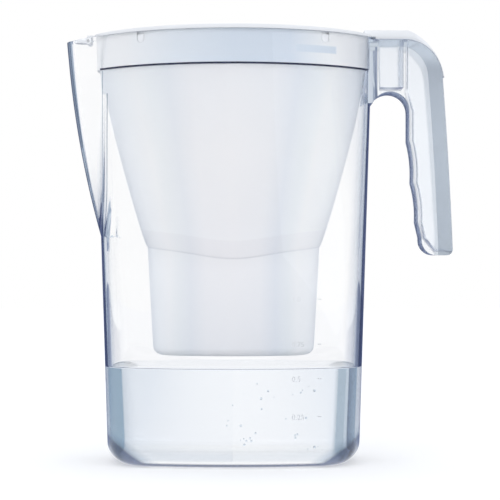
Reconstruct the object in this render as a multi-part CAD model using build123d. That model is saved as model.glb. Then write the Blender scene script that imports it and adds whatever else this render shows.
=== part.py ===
from build123d import *
import math
import os

# Water filter pitcher: a clear jug with a V spout and an open-backed handle, a funnel with a filter
# cartridge in its cup, and a lid with a fill flap, a spout flap and a change indicator.
# X runs from the spout to the handle, Y away from the viewer and Z up. The origin is the middle of
# the underside of the jug. Sizes are in millimetres.

# Gaps between pieces
SEAT = 0.05            # flat faces that rest on each other
FIT = 0.3              # moulded pieces that lift apart
RUN = 0.06             # radial gap of a hinge pin in its bore
NEST = 0.15            # pieces nested in one housing

# Jug: the wall line leans out from base to rim, and its plan turns from squarish to boat-shaped
JUG_HEIGHT = 253.5
BASE_HALF_LENGTH = 75.3
BASE_HALF_DEPTH = 47.6
RIM_HALF_LENGTH = 83.4
RIM_HALF_DEPTH = 55.1
BASE_CORNER = 27.0     # radius of the corner arcs of the plan
RIM_CORNER = 24.0
BASE_SIDE_SLOPE = 2.738    # where the side arc gives way to the corner arc, for a plan drawn square
RIM_SIDE_SLOPE = 0.498
BASE_END_SLOPE = 0.2054    # where the corner arc gives way to the end arc
RIM_END_SLOPE = 0.1284
WALL_SPANS = (3, 6, 12)    # faces of a leaning wall along each end arc, corner arc and side arc
WHOLE_ARCS = (1, 1, 1)     # the same for an upright wall
JUG_WALL = 2.9
JUG_FLOOR = 3.5
HEEL_RADIUS = 12.0     # rounding between wall and base
HEEL_ROWS = 4
GATE_MARK_RADIUS = 5.8
GATE_MARK_HEIGHT = 0.6
JUG_STATIONS = 4       # spans of the wall between base and rim

# Collar band at the top of the jug, above an inner ledge that carries the funnel
BAND_HEIGHT = 19.9     # from the ledge to the rim
BAND_STEP = 0.7        # how far the band stands out past the wall line
BAND_WALL = 2.2

# Spout
SPOUT_REACH = 100.3    # from the origin to the nose at the rim
SPOUT_ROOT_HEIGHT = JUG_HEIGHT - 119.5
SPOUT_FRONT_RADIUS = 575.0
SPOUT_CREASE = 76.5    # where the flanks leave the jug
SPOUT_BACK = 62.0      # buried end of the spout core
SPOUT_LOW_HALF_WIDTH = 18.5
SPOUT_TOP_HALF_WIDTH = 19.5
SPOUT_NOSE_RADIUS = 3.5
SPOUT_WALL = 3.0
SPOUT_BORE_NOSE_RADIUS = 2.4
SPOUT_RIM_DROP = 1.8   # fall of the rim towards the nose
SPOUT_ROWS = 8

# Handle: a channel that opens to the back, with scallops for three fingers
HANDLE_HALF_WIDTH = 13.5
HANDLE_WALL = 2.4
HANDLE_WEB = 2.8
HANDLE_TOP = JUG_HEIGHT - 1.5
HANDLE_TOP_END = 103.2         # where the flat top turns down
HANDLE_SHOULDER = (124.4, JUG_HEIGHT - 22.9)
HANDLE_BACK_MIDDLE = (127.9, JUG_HEIGHT - 74.7)
HANDLE_BACK_END = (130.4, JUG_HEIGHT - 126.5)
HANDLE_FOOT = JUG_HEIGHT - 130.1       # height of the lower end
HANDLE_FOOT_RADIUS = 9.0
HANDLE_FOOT_BACK = 3.5         # rounding of the lower end at the back
HANDLE_FRONT_LOW = (112.0, JUG_HEIGHT - 119.5)
FINGER_RIDGES = [(109.8, JUG_HEIGHT - 110.2), (107.1, JUG_HEIGHT - 86.3), (104.8, JUG_HEIGHT - 61.5)]
FINGER_HOLLOW = 1.0            # depth of a scallop behind its chord
GAP_CENTRE = (93.4, JUG_HEIGHT - 44.0)     # round top of the finger gap
GAP_RADIUS = 11.4
GAP_WALL_HEIGHT = JUG_HEIGHT - 39.5        # where the round top meets the jug
HANDLE_RIB = 101.5             # inner face of the rib that divides the channel
HANDLE_RIB_THICKNESS = 2.6
ROOT_PLATE = 87.2              # outer face of the plate at the jug
ROOT_START = 76.5              # buried end of the handle
BEAD_WIDTH = 8.6               # raised band along the open edge
BEAD_TOP_HEIGHT = 4.6
BEAD_STEP = 1.0

# Funnel: collar, hopper and the cup that holds the cartridge
FUNNEL_WALL = 1.8
HOPPER_TOP_GAP = 0.4           # from the jug wall, just below the ledge
CUP_TOP = 127.0
CUP_BOTTOM = 64.0
CUP_TOP_HALF_LENGTH = 51.3
CUP_TOP_HALF_DEPTH = 31.5
CUP_BOTTOM_HALF_LENGTH = 47.8
CUP_BOTTOM_HALF_DEPTH = 28.3
CUP_CORNER = 20.0
CUP_SIDE_SLOPE = 1.5198
CUP_END_SLOPE = 0.2481
CUP_FLOOR = 2.0
CUP_HEEL_RADIUS = 5.0
CUP_HEEL_ROWS = 3
HOPPER_FLARE = 0.25            # how far the hopper widens ahead of its height
HOPPER_ROWS = 3
CUP_LEDGE_TOP = 121.0          # ring that carries the cartridge
CUP_LEDGE_HEIGHT = 2.5
CUP_LEDGE_WIDTH = 1.5
OUTLET_SLOTS = 7
OUTLET_SLOT_WIDTH = 3.2
OUTLET_SLOT_LENGTH = 26.0
OUTLET_SLOT_PITCH = 9.0

# Cartridge
SHELL_WALL = 1.6
SHELL_BOTTOM = 68.0
SHELL_FLOOR = 1.8
SHELL_FOOT_CHAMFER = 1.5
SHELL_GAP = 0.5                # between the shell and the foot of the cup
SEAL_THICKNESS = 1.8
SHELL_FLANGE = 1.8
CAP_RIM = 3.2
CAP_CROWN = 6.0                # rise of the cap above its rim
CAP_INSET = 7.0                # how far the crown draws in
CAP_WALL = 1.6
CAP_SLOTS = 6
CAP_SLOT_WIDTH = 2.2
CAP_SLOT_LENGTH = 24.0
CAP_SLOT_PITCH = 7.0
PULL_LENGTH = 20.0             # loop by which the cartridge is lifted out
PULL_HEIGHT = 9.0
PULL_THICKNESS = 3.0
SCREEN_THICKNESS = 0.5
FLEECE_THICKNESS = 2.0

# Lid
LID_RISE = 3.0                 # of the crown above the rim
LID_CROWN_RADIUS = 2460.0
LID_EDGE_INSET = 0.3           # from the outside of the collar band
SKIRT_WALL = 1.6
SKIRT_DEPTH = 9.5
NUB_PLACE = 53.2               # X of the nubs that key the lid into the collar
NUB_WIDTH = 4.0
NUB_DROP = 1.7                 # of the nub's top below the rim
NUB_HEIGHT = 4.6
NUB_DEPTH = 1.4
NOTCH_MARGIN = 0.3
TONGUE_RISE = 3.8              # above the rim, where the tongue covers the top of the handle
TONGUE_HALF_WIDTH = 13.2
TONGUE_START = 78.0
TONGUE_TOP_END = 104.5
TONGUE_BACK_MIDDLE = (117.6, JUG_HEIGHT - 6.2)
TONGUE_TIP = (125.6, JUG_HEIGHT - 24.1)

# Fill flap
FILL_FRONT = -50.0             # X of the spout side of the opening
FILL_BACK = 22.0
FILL_HALF_WIDTH = 30.0
FILL_CORNER = 9.0
FILL_LEDGE = 3.0               # width of the ledge under the flap
FLAP_THICKNESS = 1.3
FLAP_GAP = 0.4
FLAP_LIP = 5.0                 # thumb lip at the spout side
FILL_PIN = (25.6, JUG_HEIGHT + 1.3)        # X and Z of the hinge line
FILL_PIN_RADIUS = 0.8
FILL_BARREL_RADIUS = 1.6
FILL_BARREL_HALF_LENGTH = 14.0
FILL_EAR_WIDTH = 4.0
HINGE_SIDE_GAP = 0.2

# Spout flap
SPOUT_PIN = (-86.0, JUG_HEIGHT - 2.0)
SPOUT_PIN_RADIUS = 0.7
SPOUT_BARREL_RADIUS = 1.4
SPOUT_FLAP_HALF_WIDTH = 5.0
SPOUT_FLAP_THICKNESS = 1.5
SPOUT_FLAP_GAP = 0.6           # from the flanks of the spout
SPOUT_EAR_WIDTH = 1.6
SPOUT_EAR_RADIUS = 1.7
SPOUT_BRIDGE_THICKNESS = 1.5
SPOUT_BRIDGE_FRONT = -85.2

# Change indicator, in a case under the lid
CASE_CENTRE = 50.0
CASE_LENGTH = 23.4
CASE_WIDTH = 34.0
CASE_BOTTOM = JUG_HEIGHT - 6.9
CASE_WALL = 1.4
CASE_CORNER = 3.0
CASE_LEDGE = 1.0               # step that carries the board
GASKET_WIDTH = 0.9
GASKET_THICKNESS = 0.8
WINDOW_LENGTH = 9.0
WINDOW_WIDTH = 19.0
WINDOW_PLACE = 45.5
WINDOW_THICKNESS = 1.0
WINDOW_LEDGE = 1.0
DISPLAY_THICKNESS = 1.6
BOARD_THICKNESS = 1.0
BOARD_BOTTOM = JUG_HEIGHT - 3.1
CELL_RADIUS = 8.0
CELL_THICKNESS = 1.6
CONTACT_THICKNESS = 0.3
CONTACT_WIDTH = 4.0
BUTTON_PLACE = 55.3
BUTTON_RADIUS = 3.6
BUTTON_FLANGE = 0.8
BUTTON_FLANGE_REACH = 0.9
BUTTON_PROUD = 0.5
DOME_HEIGHT = 0.6
DOME_RADIUS = 2.4

# Values that follow from the sizes above
LEDGE_HEIGHT = JUG_HEIGHT - BAND_HEIGHT
NUB_TOP = JUG_HEIGHT - NUB_DROP
NUB_BOTTOM = NUB_TOP - NUB_HEIGHT
LID_CROWN = JUG_HEIGHT + LID_RISE
TONGUE_TOP = JUG_HEIGHT + TONGUE_RISE
CUP_INNER_LEDGE = FUNNEL_WALL + CUP_LEDGE_WIDTH
BAND_INSET = BAND_WALL - BAND_STEP             # inside of the band, from the wall line
COLLAR_INSET = BAND_INSET + FIT                # outside of the funnel collar
SKIRT_INSET = COLLAR_INSET + FUNNEL_WALL + FIT # outside of the lid skirt
LID_BASE = JUG_HEIGHT + SEAT
FUNNEL_SEAT = LEDGE_HEIGHT + SEAT
HEAD_BASE = CUP_LEDGE_TOP + SEAT
FLANGE_BASE = HEAD_BASE + SEAL_THICKNESS + SEAT
CAP_BASE = FLANGE_BASE + SHELL_FLANGE + SEAT
CUP_SIDE_ANGLE = math.degrees(math.atan(CUP_SIDE_SLOPE * CUP_TOP_HALF_LENGTH / CUP_TOP_HALF_DEPTH))
CUP_END_ANGLE = math.degrees(math.atan(CUP_END_SLOPE * CUP_TOP_HALF_LENGTH / CUP_TOP_HALF_DEPTH))
ABOVE = 20.0                                   # how far a cut runs on past an open end
ON_BASE = (Align.CENTER, Align.CENTER, Align.MIN)


def blend(low, high, share):
    return low + (high - low) * share


def turned(slope, half_length, half_depth):
    """Direction in which an arc of a plan ends, for the plan's own proportions."""
    return math.degrees(math.atan(slope * half_length / half_depth))


def spans(centre, radius, start, turn, count):
    """One arc, drawn in equal spans so that the walls lofted from it have small faces."""
    return [CenterArc(centre, radius, start + i * turn / count, turn / count) for i in range(count)]


def oval(height, half_length, half_depth, corner, side_angle, end_angle, counts=WALL_SPANS):
    """Eight tangent arcs: two ends, two sides and four corners, symmetric about X and Y."""
    on_end, on_corner, on_side = counts
    side, end = math.radians(side_angle), math.radians(end_angle)
    # The arcs close up when these two sums hold, which gives the side and end radii.
    a1, b1 = math.cos(side), 1 - math.cos(end)
    a2, b2 = 1 - math.sin(side), math.sin(end)
    c1 = half_length + corner * (math.cos(side) - math.cos(end))
    c2 = half_depth - corner * (math.sin(side) - math.sin(end))
    side_radius = (c1 * b2 - c2 * b1) / (a1 * b2 - a2 * b1)
    end_radius = (c2 * a1 - c1 * a2) / (a1 * b2 - a2 * b1)
    end_x = half_length - end_radius
    corner_x = end_x + (end_radius - corner) * math.cos(end)
    corner_y = (end_radius - corner) * math.sin(end)
    turn, across = side_angle - end_angle, 180 - 2 * side_angle
    arcs = [
        *spans((end_x, 0), end_radius, -end_angle, 2 * end_angle, on_end),
        *spans((corner_x, corner_y), corner, end_angle, turn, on_corner),
        *spans((0, half_depth - side_radius), side_radius, side_angle, across, on_side),
        *spans((-corner_x, corner_y), corner, 180 - side_angle, turn, on_corner),
        *spans((-end_x, 0), end_radius, 180 - end_angle, 2 * end_angle, on_end),
        *spans((-corner_x, -corner_y), corner, 180 + end_angle, turn, on_corner),
        *spans((0, side_radius - half_depth), side_radius, 180 + side_angle, across, on_side),
        *spans((corner_x, -corner_y), corner, -side_angle, turn, on_corner),
    ]
    return Pos(0, 0, height) * make_face(Wire(arcs))


def jug_plan(share):
    """Half length, half depth, corner radius, side angle and end angle, from base (0) to rim (1)."""
    base = (BASE_HALF_LENGTH, BASE_HALF_DEPTH)
    rim = (RIM_HALF_LENGTH, RIM_HALF_DEPTH)
    return (blend(base[0], rim[0], share),
            blend(base[1], rim[1], share),
            blend(BASE_CORNER, RIM_CORNER, share),
            blend(turned(BASE_SIDE_SLOPE, *base), turned(RIM_SIDE_SLOPE, *rim), share),
            blend(turned(BASE_END_SLOPE, *base), turned(RIM_END_SLOPE, *rim), share))


def jug_oval(height, inset=0.0, counts=WALL_SPANS):
    """Plan of the jug wall line at a height, drawn in by a wall or a gap."""
    length, depth, corner, side, end = jug_plan(height / JUG_HEIGHT)
    return oval(height, length - inset, depth - inset, corner - inset, side, end, counts)


def jug_prism(bottom, top, inset):
    """Upright solid on the plan of the jug wall line at its bottom."""
    return extrude(jug_oval(bottom, inset, WHOLE_ARCS), top - bottom)


def heel(radius, rows):
    """Draw-in and rise of each row of a quarter-round heel, from the base up."""
    steps = [math.radians(90 * i / rows) for i in range(rows)]
    return [(radius * (1 - math.sin(step)), radius * (1 - math.cos(step))) for step in steps]


def jug_core(bottom, top, inset=0.0, stations=1, heel_radius=0.0):
    """Solid between two heights that follows the jug wall line, above a rounded heel if there is one."""
    plans = []
    if heel_radius:
        plans = [jug_oval(bottom + rise, inset + draw_in) for draw_in, rise in heel(heel_radius, HEEL_ROWS)]
    wall_start = bottom + heel_radius
    plans += [jug_oval(blend(wall_start, top, i / stations), inset) for i in range(stations + 1)]
    return loft(plans, ruled=True)


def cup_oval(height, inset=0.0, counts=WALL_SPANS):
    """Plan of the funnel cup at a height."""
    share = (height - CUP_BOTTOM) / (CUP_TOP - CUP_BOTTOM)
    return oval(height,
                blend(CUP_BOTTOM_HALF_LENGTH, CUP_TOP_HALF_LENGTH, share) - inset,
                blend(CUP_BOTTOM_HALF_DEPTH, CUP_TOP_HALF_DEPTH, share) - inset,
                CUP_CORNER - inset, CUP_SIDE_ANGLE, CUP_END_ANGLE, counts)


def cup_core(bottom, top, inset, heel_radius=0.0):
    plans = []
    if heel_radius:
        rows = heel(heel_radius, CUP_HEEL_ROWS)
        plans = [cup_oval(bottom + rise, inset + draw_in) for draw_in, rise in rows]
    plans += [cup_oval(bottom + heel_radius, inset), cup_oval(top, inset)]
    return loft(plans, ruled=True)


def hopper_oval(share, widening, inset):
    """Plan of the hopper, from the cup (0) to the ledge (1)."""
    length, depth, corner, side, end = jug_plan(LEDGE_HEIGHT / JUG_HEIGHT)
    gap = JUG_WALL + HOPPER_TOP_GAP
    return oval(blend(CUP_TOP, FUNNEL_SEAT, share),
                blend(CUP_TOP_HALF_LENGTH, length - gap, widening) - inset,
                blend(CUP_TOP_HALF_DEPTH, depth - gap, widening) - inset,
                blend(CUP_CORNER, corner - gap, widening) - inset,
                blend(CUP_SIDE_ANGLE, side, widening),
                blend(CUP_END_ANGLE, end, widening))


def hopper_core(inset):
    shares = [i / HOPPER_ROWS for i in range(HOPPER_ROWS + 1)]
    plans = [hopper_oval(share, share + HOPPER_FLARE * share * (1 - share), inset) for share in shares]
    return loft(plans, ruled=True)


def spout_front(height):
    """X of the nose: one large arc from the root on the wall to the rim."""
    root_x = -blend(BASE_HALF_LENGTH, RIM_HALF_LENGTH, SPOUT_ROOT_HEIGHT / JUG_HEIGHT)
    rise, run = JUG_HEIGHT - SPOUT_ROOT_HEIGHT, -SPOUT_REACH - root_x
    chord = math.hypot(rise, run)
    from_centre = math.sqrt(SPOUT_FRONT_RADIUS ** 2 - (chord / 2) ** 2)
    centre_x = root_x + run / 2 + from_centre * rise / chord
    centre_z = SPOUT_ROOT_HEIGHT + rise / 2 - from_centre * run / chord
    return centre_x - math.sqrt(SPOUT_FRONT_RADIUS ** 2 - (height - centre_z) ** 2)


def spout_shape(height):
    """Sharp tip of the V and its half angle at a height."""
    share = (height - SPOUT_ROOT_HEIGHT) / (JUG_HEIGHT - SPOUT_ROOT_HEIGHT)
    half_width = blend(SPOUT_LOW_HALF_WIDTH, SPOUT_TOP_HALF_WIDTH, share)
    nose_centre = spout_front(height) + SPOUT_NOSE_RADIUS
    reach = math.hypot(-SPOUT_CREASE - nose_centre, half_width)
    angle = (math.atan2(half_width, -SPOUT_CREASE - nose_centre)
             - math.asin(SPOUT_NOSE_RADIUS / reach))
    return nose_centre - SPOUT_NOSE_RADIUS / math.sin(angle), angle, half_width


def spout_section(height, inset, nose_radius):
    tip, angle, half_width = spout_shape(height)
    tip += inset / math.sin(angle)
    half_width -= inset
    crease = tip + half_width / math.tan(angle)
    face = make_face(Polyline((-SPOUT_BACK, half_width), (crease, half_width), (tip, 0),
                              (crease, -half_width), (-SPOUT_BACK, -half_width), close=True))
    face = fillet(face.vertices().sort_by(Axis.X)[0], nose_radius)
    return Pos(0, 0, height) * face


def spout_core(top, inset=0.0, nose_radius=SPOUT_NOSE_RADIUS):
    heights = [blend(SPOUT_ROOT_HEIGHT, top, i / SPOUT_ROWS) for i in range(SPOUT_ROWS + 1)]
    return loft([spout_section(height, inset, nose_radius) for height in heights], ruled=True)


def side_view(lines):
    """Face in the XZ plane from lines that are drawn with X and Z as their two coordinates."""
    return make_face(Plane.XZ * Wire([edge for line in lines for edge in line.edges()]))


def slab(face, half_width):
    return extrude(face, half_width, both=True)


def box_between(low, high):
    size = [b - a for a, b in zip(low, high)]
    return Pos(*low) * Box(*size, align=(Align.MIN, Align.MIN, Align.MIN))


def rod(x, z, radius, y_from, y_to):
    """Round bar along Y."""
    return Pos(x, (y_from + y_to) / 2, z) * Rot(90, 0, 0) * Cylinder(radius, abs(y_to - y_from))


def rounded_plate(centre_x, length, width, corner, bottom, thickness):
    return Pos(centre_x, 0, bottom) * extrude(RectangleRounded(length, width, corner), thickness)


def nub_column(x, half_width):
    """Round-bottomed upright across the whole depth, for a nub of the lid or its notch."""
    round_middle = NUB_BOTTOM + NUB_WIDTH / 2
    column = box_between((x - half_width, -RIM_HALF_DEPTH, round_middle),
                         (x + half_width, RIM_HALF_DEPTH, JUG_HEIGHT + ABOVE))
    return column + rod(x, round_middle, half_width, -RIM_HALF_DEPTH, RIM_HALF_DEPTH)


def lid_dome():
    """Everything below the gently crowned top of the lid, with the poles of the ball out at its sides."""
    return Pos(0, 0, LID_CROWN - LID_CROWN_RADIUS) * Rot(90, 0, 0) * Sphere(LID_CROWN_RADIUS)


def lid_top(x):
    """Height of the crowned top on the centre line."""
    return LID_CROWN - LID_CROWN_RADIUS + math.sqrt(LID_CROWN_RADIUS ** 2 - x ** 2)


def finger_line(offset):
    """Scalloped grip line, going up, shifted along X by an offset."""
    low = (HANDLE_FRONT_LOW[0] + offset, HANDLE_FRONT_LOW[1])
    ridges = [(x + offset, z) for x, z in FINGER_RIDGES]
    last = (ridges[-1][0], GAP_CENTRE[1])
    lines = [Line(low, ridges[0])]
    for start, end in zip(ridges, ridges[1:]):
        middle = ((start[0] + end[0]) / 2 + FINGER_HOLLOW, (start[1] + end[1]) / 2)
        lines.append(ThreePointArc(start, middle, end))
    lines.append(Line(ridges[-1], last))
    return lines


def handle_back(inset=0.0):
    """Back line of the handle from the flat top down to the lower end, drawn in by an inset."""
    shoulder = (HANDLE_SHOULDER[0] - inset, HANDLE_SHOULDER[1])
    middle = (HANDLE_BACK_MIDDLE[0] - inset, HANDLE_BACK_MIDDLE[1])
    end = (HANDLE_BACK_END[0] - inset, HANDLE_BACK_END[1])
    top_end = (HANDLE_TOP_END, HANDLE_TOP - inset * BEAD_TOP_HEIGHT / BEAD_WIDTH)
    lower = ThreePointArc(shoulder, middle, end)
    upper = TangentArc(shoulder, top_end, tangent=-lower.tangent_at(0))
    return upper, lower, top_end, end


def make_handle():
    """Side outline with its round gap top, made into a channel that opens to the back and top."""
    upper, lower, top_end, end = handle_back()
    grip_top = (FINGER_RIDGES[-1][0], GAP_CENTRE[1])
    gap_top = GAP_CENTRE[1] + GAP_RADIUS
    gap_run = math.sqrt(GAP_RADIUS ** 2 - (GAP_WALL_HEIGHT - GAP_CENTRE[1]) ** 2)
    gap_wall = (GAP_CENTRE[0] - gap_run, GAP_WALL_HEIGHT)
    foot_start = (HANDLE_FRONT_LOW[0], HANDLE_FOOT + HANDLE_FOOT_RADIUS)
    foot_front = (HANDLE_FRONT_LOW[0] + HANDLE_FOOT_RADIUS, HANDLE_FOOT)
    foot_back = (end[0] - HANDLE_FOOT_BACK, HANDLE_FOOT)
    side = side_view([
        Line((ROOT_START, HANDLE_TOP), top_end),
        upper,
        lower,
        TangentArc(end, foot_back, tangent=lower.tangent_at(1)),
        Line(foot_back, foot_front),
        TangentArc(foot_front, foot_start, tangent=(-1, 0)),
        Line(foot_start, HANDLE_FRONT_LOW),
        *finger_line(0.0),
        ThreePointArc(grip_top, (GAP_CENTRE[0], gap_top), gap_wall),
        Polyline(gap_wall, (ROOT_START, GAP_WALL_HEIGHT), (ROOT_START, HANDLE_TOP)),
    ])
    body = slab(side, HANDLE_HALF_WIDTH)

    # The raised band keeps the strip of the outline behind a line that runs along its back.
    band_upper, band_lower, band_top, band_end = handle_back(BEAD_WIDTH)
    below = HANDLE_FOOT - ABOVE
    inside = side_view([
        Line((ROOT_START, band_top[1]), band_top),
        band_upper,
        band_lower,
        Polyline(band_end, (band_end[0], below), (ROOT_START, below), (ROOT_START, band_top[1])),
    ])
    body += slab(side - inside, HANDLE_HALF_WIDTH + BEAD_STEP)

    # Channel: the grip cavity behind the web, and the box cavity between rib and root plate.
    cavity_half = HANDLE_HALF_WIDTH - HANDLE_WALL
    behind, open_top = HANDLE_BACK_END[0] + ABOVE, HANDLE_TOP + ABOVE
    floor = HANDLE_FOOT + HANDLE_WEB
    rib_back = HANDLE_RIB + HANDLE_RIB_THICKNESS
    web_top = (FINGER_RIDGES[-1][0] + HANDLE_WEB, GAP_CENTRE[1])
    web_low = (HANDLE_FRONT_LOW[0] + HANDLE_WEB, HANDLE_FRONT_LOW[1])
    grip = side_view([
        *finger_line(HANDLE_WEB),
        Polyline(web_top, (rib_back, gap_top), (rib_back, open_top), (behind, open_top),
                 (behind, floor), (foot_front[0], floor), web_low),
    ])
    body -= slab(grip, cavity_half)
    body -= box_between((ROOT_PLATE, -cavity_half, gap_top + HANDLE_WEB), (HANDLE_RIB, cavity_half, open_top))
    return body


def make_jug():
    outer = jug_core(0, JUG_HEIGHT, stations=JUG_STATIONS, heel_radius=HEEL_RADIUS)
    outer += jug_core(LEDGE_HEIGHT, JUG_HEIGHT, -BAND_STEP)
    outer += spout_core(JUG_HEIGHT)
    outer += make_handle()

    inner = jug_core(JUG_FLOOR, LEDGE_HEIGHT + SEAT, JUG_WALL, JUG_STATIONS, HEEL_RADIUS - JUG_WALL)
    inner += jug_core(LEDGE_HEIGHT, JUG_HEIGHT + ABOVE, BAND_INSET)
    inner += spout_core(JUG_HEIGHT + ABOVE, SPOUT_WALL, SPOUT_BORE_NOSE_RADIUS)
    jug = outer - inner

    # The rim falls towards the nose.
    rim = RIM_HALF_LENGTH + BAND_STEP
    drop_end = SPOUT_REACH + ABOVE
    drop = SPOUT_RIM_DROP * (drop_end - rim) / (SPOUT_REACH - rim)
    jug -= slab(side_view([
        Line((-rim, JUG_HEIGHT), (-drop_end, JUG_HEIGHT - drop)),
        Line((-drop_end, JUG_HEIGHT - drop), (-drop_end, JUG_HEIGHT + ABOVE)),
        Line((-drop_end, JUG_HEIGHT + ABOVE), (-rim, JUG_HEIGHT + ABOVE)),
        Line((-rim, JUG_HEIGHT + ABOVE), (-rim, JUG_HEIGHT)),
    ]), 2 * SPOUT_TOP_HALF_WIDTH)
    gate = Pos(0, 0, JUG_FLOOR) * Cylinder(GATE_MARK_RADIUS, 2 * GATE_MARK_HEIGHT)
    return jug + gate


def make_funnel():
    """Collar on the jug's ledge, hopper below it and the cup for the cartridge."""
    outer = jug_core(FUNNEL_SEAT, JUG_HEIGHT, COLLAR_INSET) + hopper_core(0.0)
    outer += cup_core(CUP_BOTTOM, CUP_TOP, 0.0, CUP_HEEL_RADIUS)

    collar_bore = COLLAR_INSET + FUNNEL_WALL
    inner = jug_core(FUNNEL_SEAT + FUNNEL_WALL, JUG_HEIGHT + ABOVE, collar_bore)
    inner += hopper_core(FUNNEL_WALL)
    inner += extrude(hopper_oval(1.0, 1.0, FUNNEL_WALL), FUNNEL_WALL)
    ledge_bottom = CUP_LEDGE_TOP - CUP_LEDGE_HEIGHT
    inner += cup_core(CUP_LEDGE_TOP, CUP_TOP, FUNNEL_WALL)
    inner += cup_core(ledge_bottom, CUP_LEDGE_TOP, CUP_INNER_LEDGE)
    inner += cup_core(CUP_BOTTOM + CUP_FLOOR, ledge_bottom, FUNNEL_WALL, CUP_HEEL_RADIUS - FUNNEL_WALL)
    funnel = outer - inner

    for i in range(OUTLET_SLOTS):
        x = (i - (OUTLET_SLOTS - 1) / 2) * OUTLET_SLOT_PITCH
        funnel -= Pos(x, 0, CUP_BOTTOM) * extrude(
            SlotOverall(OUTLET_SLOT_LENGTH, OUTLET_SLOT_WIDTH, rotation=90), CUP_FLOOR * 2, both=True)

    # Open-topped notches for the nubs of the lid
    for x in (-NUB_PLACE, NUB_PLACE):
        funnel -= nub_column(x, NUB_WIDTH / 2 + NOTCH_MARGIN)
    return funnel


def shell_prism(bottom, top, inset=0.0):
    """Upright solid on the plan of the cartridge shell, which clears the foot of the cup."""
    plan = cup_oval(SHELL_BOTTOM, FUNNEL_WALL + SHELL_GAP + inset, WHOLE_ARCS)
    return Pos(0, 0, bottom - SHELL_BOTTOM) * extrude(plan, top - bottom)


def head_plan(height, inset=0.0):
    """Plan of the cartridge head, a fit inside the upper cup, moved to a height."""
    return Pos(0, 0, height - HEAD_BASE) * cup_oval(HEAD_BASE, FUNNEL_WALL + FIT + inset, WHOLE_ARCS)


def head_prism(bottom, top, inset=0.0):
    return extrude(head_plan(bottom, inset), top - bottom)


def slot_row(count, pitch, length, width, bottom, top):
    """Row of slots along X, each lying along Y."""
    row = None
    for i in range(count):
        x = (i - (count - 1) / 2) * pitch
        slot = Pos(x, 0, bottom) * extrude(SlotOverall(length, width, rotation=90), top - bottom)
        row = slot if row is None else row + slot
    return row


def make_cartridge_shell():
    outer = shell_prism(SHELL_BOTTOM, FLANGE_BASE + SHELL_FLANGE)
    outer = chamfer(outer.edges().group_by(Axis.Z)[0], SHELL_FOOT_CHAMFER)
    outer += head_prism(FLANGE_BASE, FLANGE_BASE + SHELL_FLANGE)
    shell = outer - shell_prism(SHELL_BOTTOM + SHELL_FLOOR, FLANGE_BASE + SHELL_FLANGE, SHELL_WALL)
    return shell - slot_row(OUTLET_SLOTS, OUTLET_SLOT_PITCH, OUTLET_SLOT_LENGTH, OUTLET_SLOT_WIDTH / 2,
                            SHELL_BOTTOM - SEAT, SHELL_BOTTOM + SHELL_FLOOR + SEAT)


def make_cartridge_seal():
    ring = head_prism(HEAD_BASE, HEAD_BASE + SEAL_THICKNESS)
    return ring - shell_prism(HEAD_BASE, HEAD_BASE + SEAL_THICKNESS, -NEST)


def crown_core(bottom, inset):
    """Sloping crown of the cap, on the plan of its rim."""
    return extrude(head_plan(bottom, inset), CAP_CROWN, taper=math.degrees(math.atan(CAP_INSET / CAP_CROWN)))


def make_cartridge_cap():
    """Crowned cap with inlet slots and a pull loop."""
    rim_top = CAP_BASE + CAP_RIM
    outer = head_prism(CAP_BASE, rim_top) + crown_core(rim_top, 0.0)
    inner = head_prism(CAP_BASE, rim_top - CAP_WALL, CAP_WALL) + crown_core(rim_top - CAP_WALL, CAP_WALL)
    cap = outer - inner
    crown = rim_top + CAP_CROWN
    for side in (-1, 1):
        centre = side * (PULL_LENGTH / 2 + (CAP_SLOTS / 2 - 1) / 2 * CAP_SLOT_PITCH + CAP_SLOT_WIDTH * 2)
        cap -= Pos(centre, 0, 0) * slot_row(CAP_SLOTS // 2, CAP_SLOT_PITCH, CAP_SLOT_LENGTH, CAP_SLOT_WIDTH,
                                            crown - 2 * CAP_WALL, crown + CAP_WALL)
    half = PULL_LENGTH / 2
    arch = side_view([
        Line((-half, crown - CAP_WALL / 2), (-half, crown + PULL_HEIGHT / 3)),
        ThreePointArc((-half, crown + PULL_HEIGHT / 3), (0, crown + PULL_HEIGHT),
                      (half, crown + PULL_HEIGHT / 3)),
        Line((half, crown + PULL_HEIGHT / 3), (half, crown - CAP_WALL / 2)),
        Line((half, crown - CAP_WALL / 2), (-half, crown - CAP_WALL / 2)),
    ])
    hole = half - PULL_THICKNESS
    arch_gap = side_view([
        Line((-hole, crown), (-hole, crown + PULL_HEIGHT / 3)),
        ThreePointArc((-hole, crown + PULL_HEIGHT / 3), (0, crown + PULL_HEIGHT - PULL_THICKNESS),
                      (hole, crown + PULL_HEIGHT / 3)),
        Line((hole, crown + PULL_HEIGHT / 3), (hole, crown)),
        Line((hole, crown), (-hole, crown)),
    ])
    return cap + slab(arch - arch_gap, PULL_THICKNESS / 2)


def make_outlet_screen():
    bottom = SHELL_BOTTOM + SHELL_FLOOR + SEAT
    return shell_prism(bottom, bottom + SCREEN_THICKNESS, SHELL_WALL + NEST)


def make_filter_media():
    bottom = SHELL_BOTTOM + SHELL_FLOOR + SCREEN_THICKNESS + 2 * SEAT
    top = FLANGE_BASE + SHELL_FLANGE - FLEECE_THICKNESS - 2 * SEAT
    return shell_prism(bottom, top, SHELL_WALL + NEST)


def make_inlet_fleece():
    top = FLANGE_BASE + SHELL_FLANGE
    return shell_prism(top - FLEECE_THICKNESS - SEAT, top - SEAT, SHELL_WALL + NEST)


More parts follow.
